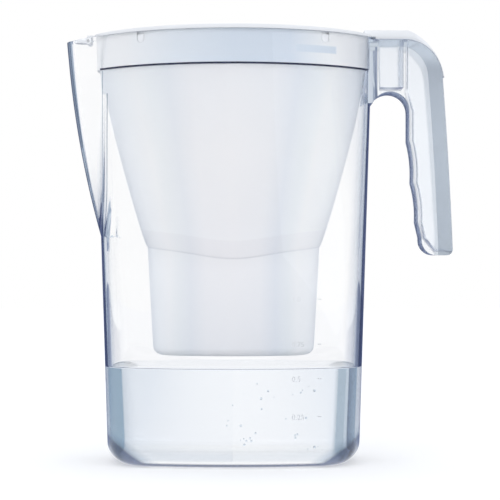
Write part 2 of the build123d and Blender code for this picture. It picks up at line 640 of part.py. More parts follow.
def make_tongue():
    """Crescent that covers the top of the handle and runs down its shoulder."""
    under_end = (HANDLE_SHOULDER[0] + FIT, HANDLE_SHOULDER[1])
    upper, _, top_end, _ = handle_back(-FIT)
    start = (TONGUE_START, LID_BASE)
    notch = (RIM_HALF_LENGTH + BAND_STEP + 2 * FIT, LID_BASE)
    crescent = side_view([
        Line((TONGUE_START, TONGUE_TOP), (TONGUE_TOP_END, TONGUE_TOP)),
        ThreePointArc((TONGUE_TOP_END, TONGUE_TOP), TONGUE_BACK_MIDDLE, TONGUE_TIP),
        Line(TONGUE_TIP, under_end),
        upper,
        Line(top_end, (notch[0], top_end[1])),
        Line((notch[0], top_end[1]), notch),
        Line(notch, start),
        Line(start, (TONGUE_START, TONGUE_TOP)),
    ])
    return slab(crescent, TONGUE_HALF_WIDTH)


def make_lid_cover():
    """Crowned deck with its skirt, the tongue, both hinges' ears and the indicator's openings."""
    edge = LID_EDGE_INSET - BAND_STEP
    deck = jug_prism(LID_BASE, LID_CROWN + ABOVE, edge) & lid_dome()
    skirt_bottom = LID_BASE - SKIRT_DEPTH
    skirt = jug_prism(skirt_bottom, LID_BASE, SKIRT_INSET)
    skirt -= jug_prism(skirt_bottom, LID_BASE, SKIRT_INSET + SKIRT_WALL)
    nub_zone = jug_prism(NUB_BOTTOM, NUB_TOP, SKIRT_INSET - NUB_DEPTH - FIT)
    nub_zone -= jug_prism(NUB_BOTTOM, NUB_TOP, SKIRT_INSET + SKIRT_WALL / 2)
    cover = deck + skirt
    for x in (-NUB_PLACE, NUB_PLACE):
        cover += nub_zone & nub_column(x, NUB_WIDTH / 2)
    cover += make_tongue()

    # Fill opening: a through hole and a recess for the flap, with a trough for its barrel.
    fill_x, fill_z = FILL_PIN
    fill_length, fill_middle = FILL_BACK - FILL_FRONT, (FILL_BACK + FILL_FRONT) / 2
    recess_bottom = lid_top(FILL_FRONT) - FLAP_THICKNESS - SEAT
    cover -= rounded_plate(fill_middle, fill_length - 2 * FILL_LEDGE, 2 * (FILL_HALF_WIDTH - FILL_LEDGE),
                           FILL_CORNER - FILL_LEDGE, skirt_bottom, 2 * ABOVE)
    cover -= rounded_plate(fill_middle, fill_length, 2 * FILL_HALF_WIDTH, FILL_CORNER, recess_bottom, ABOVE)
    ear_half = FILL_BARREL_HALF_LENGTH + HINGE_SIDE_GAP
    trough = FILL_BARREL_RADIUS + FIT
    cover -= box_between((FILL_BACK - FILL_LEDGE, -ear_half, recess_bottom),
                         (fill_x + trough + FLAP_THICKNESS, ear_half, LID_CROWN + ABOVE))
    cover -= rod(fill_x, fill_z, trough, -ear_half, ear_half)
    ear_out = ear_half + FILL_EAR_WIDTH
    trough_floor = rod(fill_x, fill_z, trough + SKIRT_WALL, -ear_out, ear_out)
    trough_floor &= box_between((fill_x - ABOVE, -FILL_HALF_WIDTH, LID_BASE - ABOVE),
                                (fill_x + ABOVE, FILL_HALF_WIDTH, LID_BASE))
    cover += trough_floor - rod(fill_x, fill_z, trough, -ear_half, ear_half)
    cover -= rod(fill_x, fill_z, FILL_PIN_RADIUS + RUN, -ear_out, ear_out)

    # Spout hinge: a bridge past the rim and two ears that hang down into the spout.
    pin_x, pin_z = SPOUT_PIN
    side_in = SPOUT_FLAP_HALF_WIDTH + HINGE_SIDE_GAP
    side_out = side_in + SPOUT_EAR_WIDTH
    bridge_top = LID_BASE + SPOUT_BRIDGE_THICKNESS
    cover += box_between((SPOUT_BRIDGE_FRONT, -side_out, LID_BASE), (-TONGUE_START, side_out, bridge_top))
    for y_from, y_to in ((-side_out, -side_in), (side_in, side_out)):
        ear = box_between((pin_x - SPOUT_EAR_RADIUS, y_from, pin_z),
                          (pin_x + SPOUT_EAR_RADIUS, y_to, bridge_top))
        ear += rod(pin_x, pin_z, SPOUT_EAR_RADIUS, y_from, y_to)
        cover += ear
    cover -= rod(pin_x, pin_z, SPOUT_PIN_RADIUS + RUN, -side_out, side_out)

    # Window over the display, with its ledge, and the button's hole
    window_seat = lid_top(CASE_CENTRE) - WINDOW_THICKNESS - SEAT
    cover -= rounded_plate(WINDOW_PLACE, WINDOW_LENGTH, WINDOW_WIDTH, 1.5, window_seat, ABOVE)
    cover -= rounded_plate(WINDOW_PLACE, WINDOW_LENGTH - 2 * WINDOW_LEDGE, WINDOW_WIDTH - 2 * WINDOW_LEDGE, 0.8,
                           LID_BASE - SEAT, ABOVE)
    cover -= Pos(BUTTON_PLACE, 0, LID_BASE) * Cylinder(BUTTON_RADIUS + FIT, ABOVE)
    return cover


def make_fill_flap():
    fill_x, fill_z = FILL_PIN
    length = FILL_BACK - FILL_FRONT
    bottom = lid_top(FILL_FRONT) - FLAP_THICKNESS
    middle = (FILL_BACK + FILL_FRONT) / 2
    plate = rounded_plate(middle, length - 2 * FLAP_GAP, 2 * (FILL_HALF_WIDTH - FLAP_GAP),
                          FILL_CORNER - FLAP_GAP, bottom, ABOVE) & lid_dome()
    half = FILL_BARREL_HALF_LENGTH
    arm = box_between((FILL_BACK - FILL_LEDGE, -half, bottom), (fill_x, half, LID_CROWN + ABOVE)) & lid_dome()
    lip = rounded_plate(FILL_FRONT + FLAP_LIP, FLAP_LIP, FILL_HALF_WIDTH, FLAP_LIP / 2 - 0.1, bottom,
                        lid_top(FILL_FRONT) + 0.8 - bottom)
    flap = plate + arm + lip + rod(fill_x, fill_z, FILL_BARREL_RADIUS, -half, half)
    return flap - rod(fill_x, fill_z, FILL_PIN_RADIUS + RUN, -half, half)


def make_fill_flap_pin():
    fill_x, fill_z = FILL_PIN
    half = FILL_BARREL_HALF_LENGTH + HINGE_SIDE_GAP + FILL_EAR_WIDTH - FIT
    return rod(fill_x, fill_z, FILL_PIN_RADIUS, -half, half)


def make_spout_flap():
    """Small plate that closes the spout's channel and swings up as water pushes out."""
    pin_x, pin_z = SPOUT_PIN
    bottom = pin_z - SPOUT_FLAP_THICKNESS / 2
    half = SPOUT_FLAP_HALF_WIDTH
    inset = SPOUT_WALL + SPOUT_FLAP_GAP
    tip, angle, _ = spout_shape(bottom)
    tip += inset / math.sin(angle)
    shoulder = tip + half / math.tan(angle)
    outline = make_face(Polyline((pin_x, half), (shoulder, half), (tip, 0), (shoulder, -half),
                                 (pin_x, -half), close=True))
    outline = fillet(outline.vertices().sort_by(Axis.X)[0], SPOUT_BORE_NOSE_RADIUS)
    plate = Pos(0, 0, bottom) * extrude(outline, SPOUT_FLAP_THICKNESS)
    flap = plate + rod(pin_x, pin_z, SPOUT_BARREL_RADIUS, -half, half)
    return flap - rod(pin_x, pin_z, SPOUT_PIN_RADIUS + RUN, -half, half)


def make_spout_flap_pin():
    pin_x, pin_z = SPOUT_PIN
    half = SPOUT_FLAP_HALF_WIDTH + HINGE_SIDE_GAP + SPOUT_EAR_WIDTH - SEAT
    return rod(pin_x, pin_z, SPOUT_PIN_RADIUS, -half, half)


def case_plate(inset, bottom, top):
    return rounded_plate(CASE_CENTRE, CASE_LENGTH - 2 * inset, CASE_WIDTH - 2 * inset, CASE_CORNER - inset,
                         bottom, top - bottom)


def make_indicator_case():
    top = LID_BASE - GASKET_THICKNESS - 2 * SEAT
    board_seat = BOARD_BOTTOM - SEAT
    case = case_plate(0, CASE_BOTTOM, top) - case_plate(CASE_WALL, board_seat, top)
    return case - case_plate(CASE_WALL + CASE_LEDGE, CASE_BOTTOM + CASE_WALL, board_seat)


def make_indicator_gasket():
    bottom, top = LID_BASE - GASKET_THICKNESS - SEAT, LID_BASE - SEAT
    margin = (CASE_WALL - GASKET_WIDTH) / 2
    return case_plate(margin, bottom, top) - case_plate(margin + GASKET_WIDTH, bottom, top)


def make_circuit_board():
    return case_plate(CASE_WALL + NEST, BOARD_BOTTOM, BOARD_BOTTOM + BOARD_THICKNESS)


def make_display_panel():
    bottom = BOARD_BOTTOM + BOARD_THICKNESS + SEAT
    return rounded_plate(WINDOW_PLACE, WINDOW_LENGTH, WINDOW_WIDTH, 0.5, bottom, DISPLAY_THICKNESS)


def make_indicator_window():
    bottom = lid_top(CASE_CENTRE) - WINDOW_THICKNESS
    pane = rounded_plate(WINDOW_PLACE, WINDOW_LENGTH - NEST, WINDOW_WIDTH - NEST, 1.4, bottom, ABOVE)
    return pane & lid_dome()


def make_coin_cell():
    bottom = CASE_BOTTOM + CASE_WALL + CONTACT_THICKNESS + 2 * SEAT
    return Pos(CASE_CENTRE, 0, bottom) * Cylinder(CELL_RADIUS, CELL_THICKNESS, align=ON_BASE)


def make_battery_contact():
    """Strip under the cell that turns up beside it to the board."""
    floor = CASE_BOTTOM + CASE_WALL + SEAT
    side = CELL_RADIUS + 1.5
    half = CONTACT_WIDTH / 2
    strip = box_between((CASE_CENTRE - half, -side, floor), (CASE_CENTRE + half, CELL_RADIUS / 2,
                                                              floor + CONTACT_THICKNESS))
    leg = box_between((CASE_CENTRE - half, -side, floor), (CASE_CENTRE + half, -side + CONTACT_THICKNESS,
                                                            BOARD_BOTTOM - SEAT))
    return strip + leg


def make_button_dome():
    """Snap dome on the board under the button."""
    base = BOARD_BOTTOM + BOARD_THICKNESS + SEAT
    radius = (DOME_RADIUS ** 2 + DOME_HEIGHT ** 2) / (2 * DOME_HEIGHT)
    ball = Pos(BUTTON_PLACE, 0, base + DOME_HEIGHT - radius) * Rot(90, 0, 0) * Sphere(radius)
    return ball & box_between((BUTTON_PLACE - radius, -radius, base),
                              (BUTTON_PLACE + radius, radius, base + radius))


def make_reset_button():
    top = lid_top(BUTTON_PLACE) + BUTTON_PROUD
    flange_top = LID_BASE - SEAT
    dome_top = BOARD_BOTTOM + BOARD_THICKNESS + SEAT + DOME_HEIGHT
    button = Pos(BUTTON_PLACE, 0, flange_top - BUTTON_FLANGE) * Cylinder(
        BUTTON_RADIUS, top - flange_top + BUTTON_FLANGE, align=ON_BASE)
    button = chamfer(button.edges().group_by(Axis.Z)[-1], BUTTON_PROUD)
    button += Pos(BUTTON_PLACE, 0, flange_top - BUTTON_FLANGE) * Cylinder(
        BUTTON_RADIUS + BUTTON_FLANGE_REACH, BUTTON_FLANGE, align=ON_BASE)
    print("reset_button can travel", round(flange_top - BUTTON_FLANGE - dome_top, 2))
    return button


PIECES = {
    "jug": make_jug,
    "funnel": make_funnel,
    "cartridge_shell": make_cartridge_shell,
    "cartridge_seal": make_cartridge_seal,
    "cartridge_cap": make_cartridge_cap,
    "outlet_screen": make_outlet_screen,
    "filter_media": make_filter_media,
    "inlet_fleece": make_inlet_fleece,
    "lid_cover": make_lid_cover,
    "fill_flap": make_fill_flap,
    "fill_flap_pin": make_fill_flap_pin,
    "spout_flap": make_spout_flap,
    "spout_flap_pin": make_spout_flap_pin,
    "indicator_case": make_indicator_case,
    "indicator_gasket": make_indicator_gasket,
    "circuit_board": make_circuit_board,
    "display_panel": make_display_panel,
    "indicator_window": make_indicator_window,
    "coin_cell": make_coin_cell,
    "battery_contact": make_battery_contact,
    "button_dome": make_button_dome,
    "reset_button": make_reset_button,
}

os.makedirs("parts", exist_ok=True)
for name, make in PIECES.items():
    piece = make()
    export_step(piece, f"parts/{name}.step")
    size = piece.bounding_box()
    print(name, len(piece.solids()), [round(v, 1) for v in (*size.min, *size.max)])
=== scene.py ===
# %% [markdown]
# # Water filter pitcher
# A clear jug with a V spout and an open-backed handle holds a milky funnel. The funnel's cup holds a
# filter cartridge, and a lid with two flaps and a change indicator closes the top. The solids come
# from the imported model. This lesson gives them their rounded edges, clear and milky plastics, water
# and light. Sizes are written in millimetres and turned into metres when a mesh is made.

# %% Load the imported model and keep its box
from math import asin, atan2, cos, degrees, dist, hypot, pi, radians, sin, sqrt, tan

import bmesh
import bpy
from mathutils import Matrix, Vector


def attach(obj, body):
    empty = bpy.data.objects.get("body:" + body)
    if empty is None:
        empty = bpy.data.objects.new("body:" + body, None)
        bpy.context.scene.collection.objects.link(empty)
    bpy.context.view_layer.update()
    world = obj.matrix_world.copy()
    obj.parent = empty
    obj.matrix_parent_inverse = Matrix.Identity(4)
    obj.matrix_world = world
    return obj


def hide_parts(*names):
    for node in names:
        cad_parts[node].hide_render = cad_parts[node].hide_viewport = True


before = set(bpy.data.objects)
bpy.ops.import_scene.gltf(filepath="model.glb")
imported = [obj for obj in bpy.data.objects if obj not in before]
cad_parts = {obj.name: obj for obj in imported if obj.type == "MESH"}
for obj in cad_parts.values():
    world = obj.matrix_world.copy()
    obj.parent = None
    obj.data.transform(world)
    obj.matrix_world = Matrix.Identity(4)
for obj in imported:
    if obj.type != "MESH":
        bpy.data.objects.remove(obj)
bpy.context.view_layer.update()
scene = bpy.context.scene
MM = 0.001

# %% [markdown]
# ## Camera
# The photograph was taken level with the middle of the jug through a long lens. The camera comes
# first, because every comparison with the photograph depends on it. A small tilt up puts the horizon
# a few pixels under the middle of the frame.

# %% Camera
CAMERA_PLACE = (9.9, -1056.0, 123.0)
CAMERA_TILT = 0.196
CAMERA_LENS = 126.2
CAMERA_SENSOR = 36.0
CAMERA_CLIP = (0.05, 40.0)


def make_camera():
    data = bpy.data.cameras.new("camera")
    data.lens, data.sensor_width = CAMERA_LENS, CAMERA_SENSOR
    data.clip_start, data.clip_end = CAMERA_CLIP
    camera = bpy.data.objects.new("camera", data)
    camera.location = [v * MM for v in CAMERA_PLACE]
    camera.rotation_euler = (radians(90 + CAMERA_TILT), 0, 0)
    scene.collection.objects.link(camera)
    scene.camera = camera
    return camera


camera = make_camera()
print("camera", camera.location[:], "lens", camera.data.lens)

# %% [markdown]
# ## Skins from rings
# Moulded plastic has no sharp edge, and clear plastic shows every flat facet, so the visible pieces
# are built from rings of points that follow the rule of the shape. One helper turns a list of rings
# into a closed skin whose faces point outwards.

# %% Mesh helpers
SMOOTH_ANGLE = radians(38)


def blend(low, high, share):
    return low + (high - low) * share


def new_piece(name, points, faces):
    """A mesh object from points in millimetres."""
    mesh = bpy.data.meshes.new(name)
    mesh.from_pydata([[v * MM for v in p] for p in points], [], faces)
    mesh.update()
    piece = bpy.data.objects.new(name, mesh)
    scene.collection.objects.link(piece)
    return piece


def smooth(piece, angle=SMOOTH_ANGLE):
    piece.data.polygons.foreach_set("use_smooth", [True] * len(piece.data.polygons))
    piece.data.set_sharp_from_angle(angle=angle)


def skin(name, rings):
    """Closed skin over rings of points. The first and last ring close in a fan."""
    count, last = len(rings[0]), len(rings) - 1
    points = [p for ring in rings for p in ring]
    faces = []
    for r in range(last):
        for c in range(count):
            n = (c + 1) % count
            faces.append((r * count + c, r * count + n, (r + 1) * count + n, (r + 1) * count + c))
    for r in (0, last):
        points.append([sum(p[i] for p in rings[r]) / count for i in range(3)])
        for c in range(count):
            edge = (r * count + c, r * count + (c + 1) % count)
            faces.append((*(edge if r else edge[::-1]), len(points) - 1))
    return new_piece(name, points, faces)


print("edges over", round(degrees(SMOOTH_ANGLE)), "degrees stay sharp")

# %% [markdown]
# ## The plan of the jug
# The plan is eight tangent arcs: two ends, two sides and four corners. It turns from squarish at the
# base to boat-shaped at the rim. The spout is a V with a round nose that grows out of the end arc.
# Both are asked for the distance from the axis in a direction, so every ring has its points on the
# same directions and the skin has no twist.

# %% Plan of the jug at a height
JUG_HEIGHT = 253.5
BASE_PLAN = (75.3, 47.6, 27.0, 77.0, 18.0)  # half length, half depth, corner, side and end angle
RIM_PLAN = (83.4, 55.1, 24.0, 37.0, 11.0)
LEDGE_HEIGHT = 233.6


def plan_arcs(plan):
    """Centres and radii of the end, corner and side arcs, with their limiting angles."""
    half_length, half_depth, corner, side, end = plan
    side, end = radians(side), radians(end)
    a1, b1 = cos(side), 1 - cos(end)
    a2, b2 = 1 - sin(side), sin(end)
    c1 = half_length + corner * (cos(side) - cos(end))
    c2 = half_depth - corner * (sin(side) - sin(end))
    side_radius = (c1 * b2 - c2 * b1) / (a1 * b2 - a2 * b1)
    end_radius = (c2 * a1 - c1 * a2) / (a1 * b2 - a2 * b1)
    end_x = half_length - end_radius
    corner_x = end_x + (end_radius - corner) * cos(end)
    corner_y = (end_radius - corner) * sin(end)
    return ((end_x, 0.0, end_radius), (corner_x, corner_y, corner),
            (0.0, half_depth - side_radius, side_radius), side, end)


def plan_reach(arcs, direction, inset=0.0):
    """Distance from the axis to the plan, drawn in by an inset."""
    ux, uy = abs(cos(direction)), abs(sin(direction))

    def hit(arc):
        along = ux * arc[0] + uy * arc[1]
        far = along + sqrt(max(along ** 2 - arc[0] ** 2 - arc[1] ** 2 + (arc[2] - inset) ** 2, 0))
        return far, atan2(far * uy - arc[1], far * ux - arc[0])

    end_arc, corner_arc, side_arc, side, end = arcs
    far, normal = hit(end_arc)
    if normal <= end:
        return far
    far, normal = hit(side_arc)
    return far if normal >= side else hit(corner_arc)[0]


def blend_plans(low, high, share):
    return [blend(a, b, share) for a, b in zip(low, high)]


def plan_at(height):
    return blend_plans(BASE_PLAN, RIM_PLAN, height / JUG_HEIGHT)


print("plan at the ledge", [round(v, 1) for v in plan_at(LEDGE_HEIGHT)])

# %% [markdown]
# ## The spout
# The front line of the spout is an arc from its root to the tip. At each height its two flanks run
# from the round nose to creases in the end wall. The crease is slightly rounded. The points of a
# ring lie close together near the nose and the creases, and farther apart on the plain wall.

# %% Wall line with its spout
SPOUT_ROOT = 134.0
SPOUT_REACH = 100.3
SPOUT_FRONT_RADIUS = 575.0
SPOUT_CREASE = 76.5
SPOUT_HALF_WIDTHS = (18.5, 19.5)  # at the root and at the rim
SPOUT_NOSES = (3.5, 2.4)  # radius of the nose outside and inside
SPOUT_LIMIT = radians(20)
CREASE_ROUNDING = 0.7
NOSE_STEP, NOSE_COUNT = 0.25, 49  # degrees between points, and points
CREASE_STEP, CREASE_COUNT = 0.12, 27
PLAIN_COUNT = 130


def spout_front(height):
    root = -blend(BASE_PLAN[0], RIM_PLAN[0], SPOUT_ROOT / JUG_HEIGHT)
    rise, run = JUG_HEIGHT - SPOUT_ROOT, -SPOUT_REACH - root
    chord = hypot(rise, run)
    from_centre = sqrt(SPOUT_FRONT_RADIUS ** 2 - (chord / 2) ** 2)
    centre_x = root + run / 2 + from_centre * rise / chord
    centre_z = SPOUT_ROOT + rise / 2 - from_centre * run / chord
    return centre_x - sqrt(SPOUT_FRONT_RADIUS ** 2 - (height - centre_z) ** 2)


def spout_reach(height, off_nose, inset, nose):
    """Distance from the axis to the V of the spout, at an angle from the nose's direction."""
    half_width = blend(*SPOUT_HALF_WIDTHS, (height - SPOUT_ROOT) / (JUG_HEIGHT - SPOUT_ROOT))
    nose_centre = spout_front(height) + SPOUT_NOSES[0]
    away = hypot(-SPOUT_CREASE - nose_centre, half_width)
    angle = atan2(half_width, -SPOUT_CREASE - nose_centre) - asin(SPOUT_NOSES[0] / away)
    tip = -nose_centre + SPOUT_NOSES[0] / sin(angle) - inset / sin(angle)
    centre = tip - nose / sin(angle)
    if off_nose <= atan2(nose * cos(angle), centre + nose * sin(angle)):
        return centre * cos(off_nose) + sqrt(nose ** 2 - (centre * sin(off_nose)) ** 2)
    return tip * tan(angle) / (sin(off_nose) + cos(off_nose) * tan(angle))


def wall_reach(arcs, height, direction, inset, spout_inset, nose):
    """Distance to the wall with its spout; the crease between them is slightly rounded."""
    body = plan_reach(arcs, direction, inset)
    off_nose = abs(direction - pi)
    if height <= SPOUT_ROOT or off_nose > SPOUT_LIMIT:
        return body
    spout = spout_reach(height, off_nose, spout_inset, nose)
    out = max(spout_reach(height, 0.0, spout_inset, nose) - plan_reach(arcs, pi, inset), 0.0)
    rounding = min(CREASE_ROUNDING, 0.5 * out) + 1e-6
    near = max(rounding - abs(body - spout), 0.0) / rounding
    return max(body, spout) + near ** 2 * rounding / 4


def ring_directions():
    turns = [NOSE_STEP * i for i in range(NOSE_COUNT)]
    turns += [turns[-1] + CREASE_STEP * i for i in range(1, CREASE_COUNT + 1)]
    half = [radians(turn) for turn in turns]
    step = (pi - half[-1]) / PLAIN_COUNT
    half += [half[-1] + step * (i + 1) for i in range(PLAIN_COUNT)]
    return [pi - a for a in reversed(half[:-1])] + [pi + a for a in half[1:-1]] + [2 * pi]


DIRECTIONS = ring_directions()
print("directions", len(DIRECTIONS), "spout front at the rim", round(spout_front(JUG_HEIGHT), 2))

# %% [markdown]
# ## The jug wall
# The skin goes from the middle of the underside round the heel, up the wall, over the rim, down
# inside the collar band to the ledge and along the inner wall to the floor with its gate mark. Each
# ring is a height and how far it is drawn in from the wall line. Quarter turns round the heel, and
# short steps round the band, the rim and the ledge let clear plastic catch light as the real one does.

# %% Rings of the jug wall
JUG_WALL = 2.9
JUG_FLOOR = 3.5
HEEL_RADIUS = 12.0
BAND_STEP = 0.7
BAND_INSET = 1.5
SPOUT_WALL = 3.0
RIM_DROP = 1.8  # how far the rim sinks at the spout's tip
RIM_DROP_FROM = (84.1, 240.0)  # distance from the axis and height where that begins
ROOT_TOP = SPOUT_ROOT + 14  # up to here the young spout needs rows 1 mm apart
OUTER_SPANS = ((HEEL_RADIUS, SPOUT_ROOT, 9), (SPOUT_ROOT, ROOT_TOP, 1), (ROOT_TOP, LEDGE_HEIGHT - 0.3, 4))
# Rings by height over the ledge or the rim, by inset, and by how far they belong to the inner face.
BAND_RINGS = ((0, -0.08), (0.12, -0.5), (0.45, -BAND_STEP))
RIM_RINGS = ((-0.2, 0.2 - BAND_STEP, 0.05), (0, 0.7 - BAND_STEP, 0.2), (0, BAND_INSET - 0.6, 0.8),
             (-0.2, BAND_INSET - 0.15, 0.95))
LEDGE_RINGS = ((0.1, BAND_INSET + 0.1), (0, BAND_INSET + 0.4), (0, JUG_WALL - 0.4), (-0.15, JUG_WALL - 0.08))
# Rings of the gate mark: share of the floor's outline, radius of the round part, height over the floor.
GATE_RINGS = ((0.6, 14, 0), (0.25, 8, 0), (0, 6.3, 0), (0, 6.05, 0.1), (0, 5.8, 0.5), (0, 5.5, 0.6),
              (0, 2.0, 0.6))


def quarter(steps):
    """Sine, and one minus cosine, of angles from 0 to a right angle."""
    for i in range(steps + 1):
        a = pi / 2 * i / steps
        yield sin(a), 1 - cos(a)


def spread(low, high, step):
    count = max(1, round(abs(high - low) / step))
    return [blend(low, high, i / count) for i in range(count + 1)]


def wall_ring(height, inset, inside=0.0, scale=1.0):
    """Ring of the wall; inside goes from 0 on the outer face to 1 on the inner face."""
    arcs = plan_arcs(plan_at(height))
    spout_inset, nose = SPOUT_WALL * inside, blend(*SPOUT_NOSES, inside)
    drop_x, drop_z = RIM_DROP_FROM
    near_rim = min(max((height - drop_z) / (JUG_HEIGHT - drop_z), 0), 1)
    ring = []
    for direction in DIRECTIONS:
        far = scale * wall_reach(arcs, height, direction, inset, spout_inset, nose)
        x, y = far * cos(direction), far * sin(direction)
        out = max(-x - drop_x, 0) / (SPOUT_REACH - drop_x)
        ring.append((x, y, height - RIM_DROP * out * near_rim))
    return ring


def make_jug_wall():
    rings = [wall_ring(0, HEEL_RADIUS, scale=s) for s in (0.05, 0.3, 0.6, 0.85)]
    rings += [wall_ring(HEEL_RADIUS * c, HEEL_RADIUS * (1 - s)) for s, c in quarter(12)]
    for span in OUTER_SPANS:
        rings += [wall_ring(z, 0) for z in spread(*span)[1:]]
    rings += [wall_ring(LEDGE_HEIGHT + up, inset) for up, inset in BAND_RINGS]
    rings += [wall_ring(z, -BAND_STEP) for z in spread(LEDGE_HEIGHT + 1, JUG_HEIGHT - 0.7, 2)]
    rings += [wall_ring(JUG_HEIGHT + up, inset, inside) for up, inset, inside in RIM_RINGS]
    rings += [wall_ring(z, BAND_INSET, 1) for z in spread(JUG_HEIGHT - 0.6, LEDGE_HEIGHT + 0.4, 2)]
    rings += [wall_ring(LEDGE_HEIGHT + up, inset, 1) for up, inset in LEDGE_RINGS]
    heel = HEEL_RADIUS - JUG_WALL
    heights = spread(LEDGE_HEIGHT - 0.5, ROOT_TOP, 4) + spread(ROOT_TOP, SPOUT_ROOT, 1)[1:]
    heights += spread(SPOUT_ROOT, JUG_FLOOR + heel, 9)[1:-1]
    rings += [wall_ring(z, JUG_WALL, 1) for z in heights]
    rings += [wall_ring(JUG_FLOOR + heel * (1 - s), JUG_WALL + heel * c, 1) for s, c in quarter(12)]
    floor = rings[-1]
    for share, radius, lift in GATE_RINGS:
        rings.append([(blend(radius * cos(d), x, share), blend(radius * sin(d), y, share),
                       JUG_FLOOR + lift) for d, (x, y, _) in zip(DIRECTIONS, floor)])
    return skin("jug_clear", rings)


jug = make_jug_wall()
print("jug wall faces", len(jug.data.polygons))

# %% [markdown]
# ## The side of the handle
# The handle is a channel that opens to the back and the top, with scallops for the fingers and a
# raised band along its open edge. All its lines are arcs that are drawn from the side.

# %% Side outline of the handle
HANDLE_HALF_WIDTH = 13.5
HANDLE_WALL = 2.4
HANDLE_WEB = 2.8
HANDLE_TOP = 252.0
HANDLE_TOP_END = 103.2
HANDLE_BACK = ((124.4, 230.6), (127.9, 178.8), (130.4, 127.0))  # shoulder, middle and lower end
HANDLE_FOOT = 123.4
HANDLE_FOOT_BACK = 3.5  # the foot's flat underside ends this far in front of the back
HANDLE_FOOT_RADIUS = 9.0
HANDLE_FRONT_LOW = (112.0, 134.0)
FINGER_RIDGES = [(109.8, 143.3), (107.1, 167.2), (104.8, 192.0)]
FINGER_HOLLOW = 1.0
GAP_CENTRE = (93.4, 209.5)
GAP_RADIUS = 11.4
GAP_WALL_HEIGHT = 214.0
ROOT_START = 76.5
BEAD_WIDTH = 8.6
BEAD_TOP_HEIGHT = 4.6
BEAD_STEP = 1.0
RIB = (101.5, 104.1)
ROOT_PLATE = 87.2


def turn_arc(start, end, centre, clockwise, steps):
    """Points of an arc after its start."""
    radius = dist(start, centre)
    first = atan2(start[1] - centre[1], start[0] - centre[0])
    last = atan2(end[1] - centre[1], end[0] - centre[0])
    sweep = (last - first) % (2 * pi)
    if clockwise:
        sweep -= 2 * pi
    return [(centre[0] + radius * cos(first + sweep * i / steps),
             centre[1] + radius * sin(first + sweep * i / steps)) for i in range(1, steps + 1)]


def arc_through(start, middle, end, steps=16):
    (ax, ay), (bx, by), (cx, cy) = start, middle, end
    d = 2 * (ax * (by - cy) + bx * (cy - ay) + cx * (ay - by))
    a2, b2, c2 = ax * ax + ay * ay, bx * bx + by * by, cx * cx + cy * cy
    centre = ((a2 * (by - cy) + b2 * (cy - ay) + c2 * (ay - by)) / d,
              (a2 * (cx - bx) + b2 * (ax - cx) + c2 * (bx - ax)) / d)
    clockwise = (bx - ax) * (cy - ay) - (by - ay) * (cx - ax) < 0
    return turn_arc(start, end, centre, clockwise, steps), centre


def arc_from(start, end, heading, steps=16):
    """Arc that leaves its start in a given heading."""
    length = hypot(*heading)
    normal = (-heading[1] / length, heading[0] / length)
    chord = (end[0] - start[0], end[1] - start[1])
    across = chord[0] * normal[0] + chord[1] * normal[1]
    radius = (chord[0] ** 2 + chord[1] ** 2) / (2 * across)
    centre = (start[0] + radius * normal[0], start[1] + radius * normal[1])
    return turn_arc(start, end, centre, across < 0, steps)


def heading_at(point, centre, upwards):
    """Direction of a circle at one of its points, going up or going down."""
    along = (centre[1] - point[1], point[0] - centre[0])
    return along if (along[1] > 0) == upwards else (-along[0], -along[1])


def handle_back(inset=0.0):
    """Points from the flat top's end down the back, drawn in by an inset, and the heading at the foot."""
    shoulder, middle, end = ((x - inset, z) for x, z in HANDLE_BACK)
    top_end = (HANDLE_TOP_END, HANDLE_TOP - inset * BEAD_TOP_HEIGHT / BEAD_WIDTH)
    lower, centre = arc_through(shoulder, middle, end)
    upper = [shoulder] + arc_from(shoulder, top_end, heading_at(shoulder, centre, True))
    return upper[::-1] + lower, heading_at(end, centre, False)


def finger_line(offset=0.0):
    """Scalloped grip line going up."""
    ridges = [(x + offset, z) for x, z in FINGER_RIDGES]
    points = [(HANDLE_FRONT_LOW[0] + offset, HANDLE_FRONT_LOW[1]), ridges[0]]
    for start, end in zip(ridges, ridges[1:]):
        middle = ((start[0] + end[0]) / 2 + FINGER_HOLLOW, (start[1] + end[1]) / 2)
        points += arc_through(start, middle, end, 12)[0]
    return points + [(ridges[-1][0], GAP_CENTRE[1])]


def handle_outline():
    back, down = handle_back()
    foot_front = (HANDLE_FRONT_LOW[0] + HANDLE_FOOT_RADIUS, HANDLE_FOOT)
    gap_run = sqrt(GAP_RADIUS ** 2 - (GAP_WALL_HEIGHT - GAP_CENTRE[1]) ** 2)
    gap_wall = (GAP_CENTRE[0] - gap_run, GAP_WALL_HEIGHT)
    grip_top = (FINGER_RIDGES[-1][0], GAP_CENTRE[1])
    outline = [(ROOT_START, HANDLE_TOP)] + back
    outline += arc_from(HANDLE_BACK[-1], (HANDLE_BACK[-1][0] - HANDLE_FOOT_BACK, HANDLE_FOOT), down, 6)
    outline += [foot_front]
    outline += arc_from(foot_front, (HANDLE_FRONT_LOW[0], HANDLE_FOOT + HANDLE_FOOT_RADIUS), (-1, 0), 10)
    outline += finger_line()
    outline += arc_through(grip_top, (GAP_CENTRE[0], GAP_CENTRE[1] + GAP_RADIUS), gap_wall, 20)[0]
    return outline + [(ROOT_START, GAP_WALL_HEIGHT)]


print("points in the handle's outline", len(handle_outline()))

# %% [markdown]
# ## The body of the handle
# The outline is made thick by extrusion. The raised band is a second prism with its inside cut out,
# and the two cavities are cut by prisms that reach past the handle's top and back. Web and band keep
# slots of their own, because they get different finishes later.

# %% Handle with its cavities
BAND_SCALE = 0.9995  # so that no face of the band lies in a face of the web
BAND_MIDDLE = (100.0, 190.0)
PAST_BACK, PAST_TOP, PAST_FOOT = 160.0, 290.0, 100.0
PAST_SIDE = 30.0


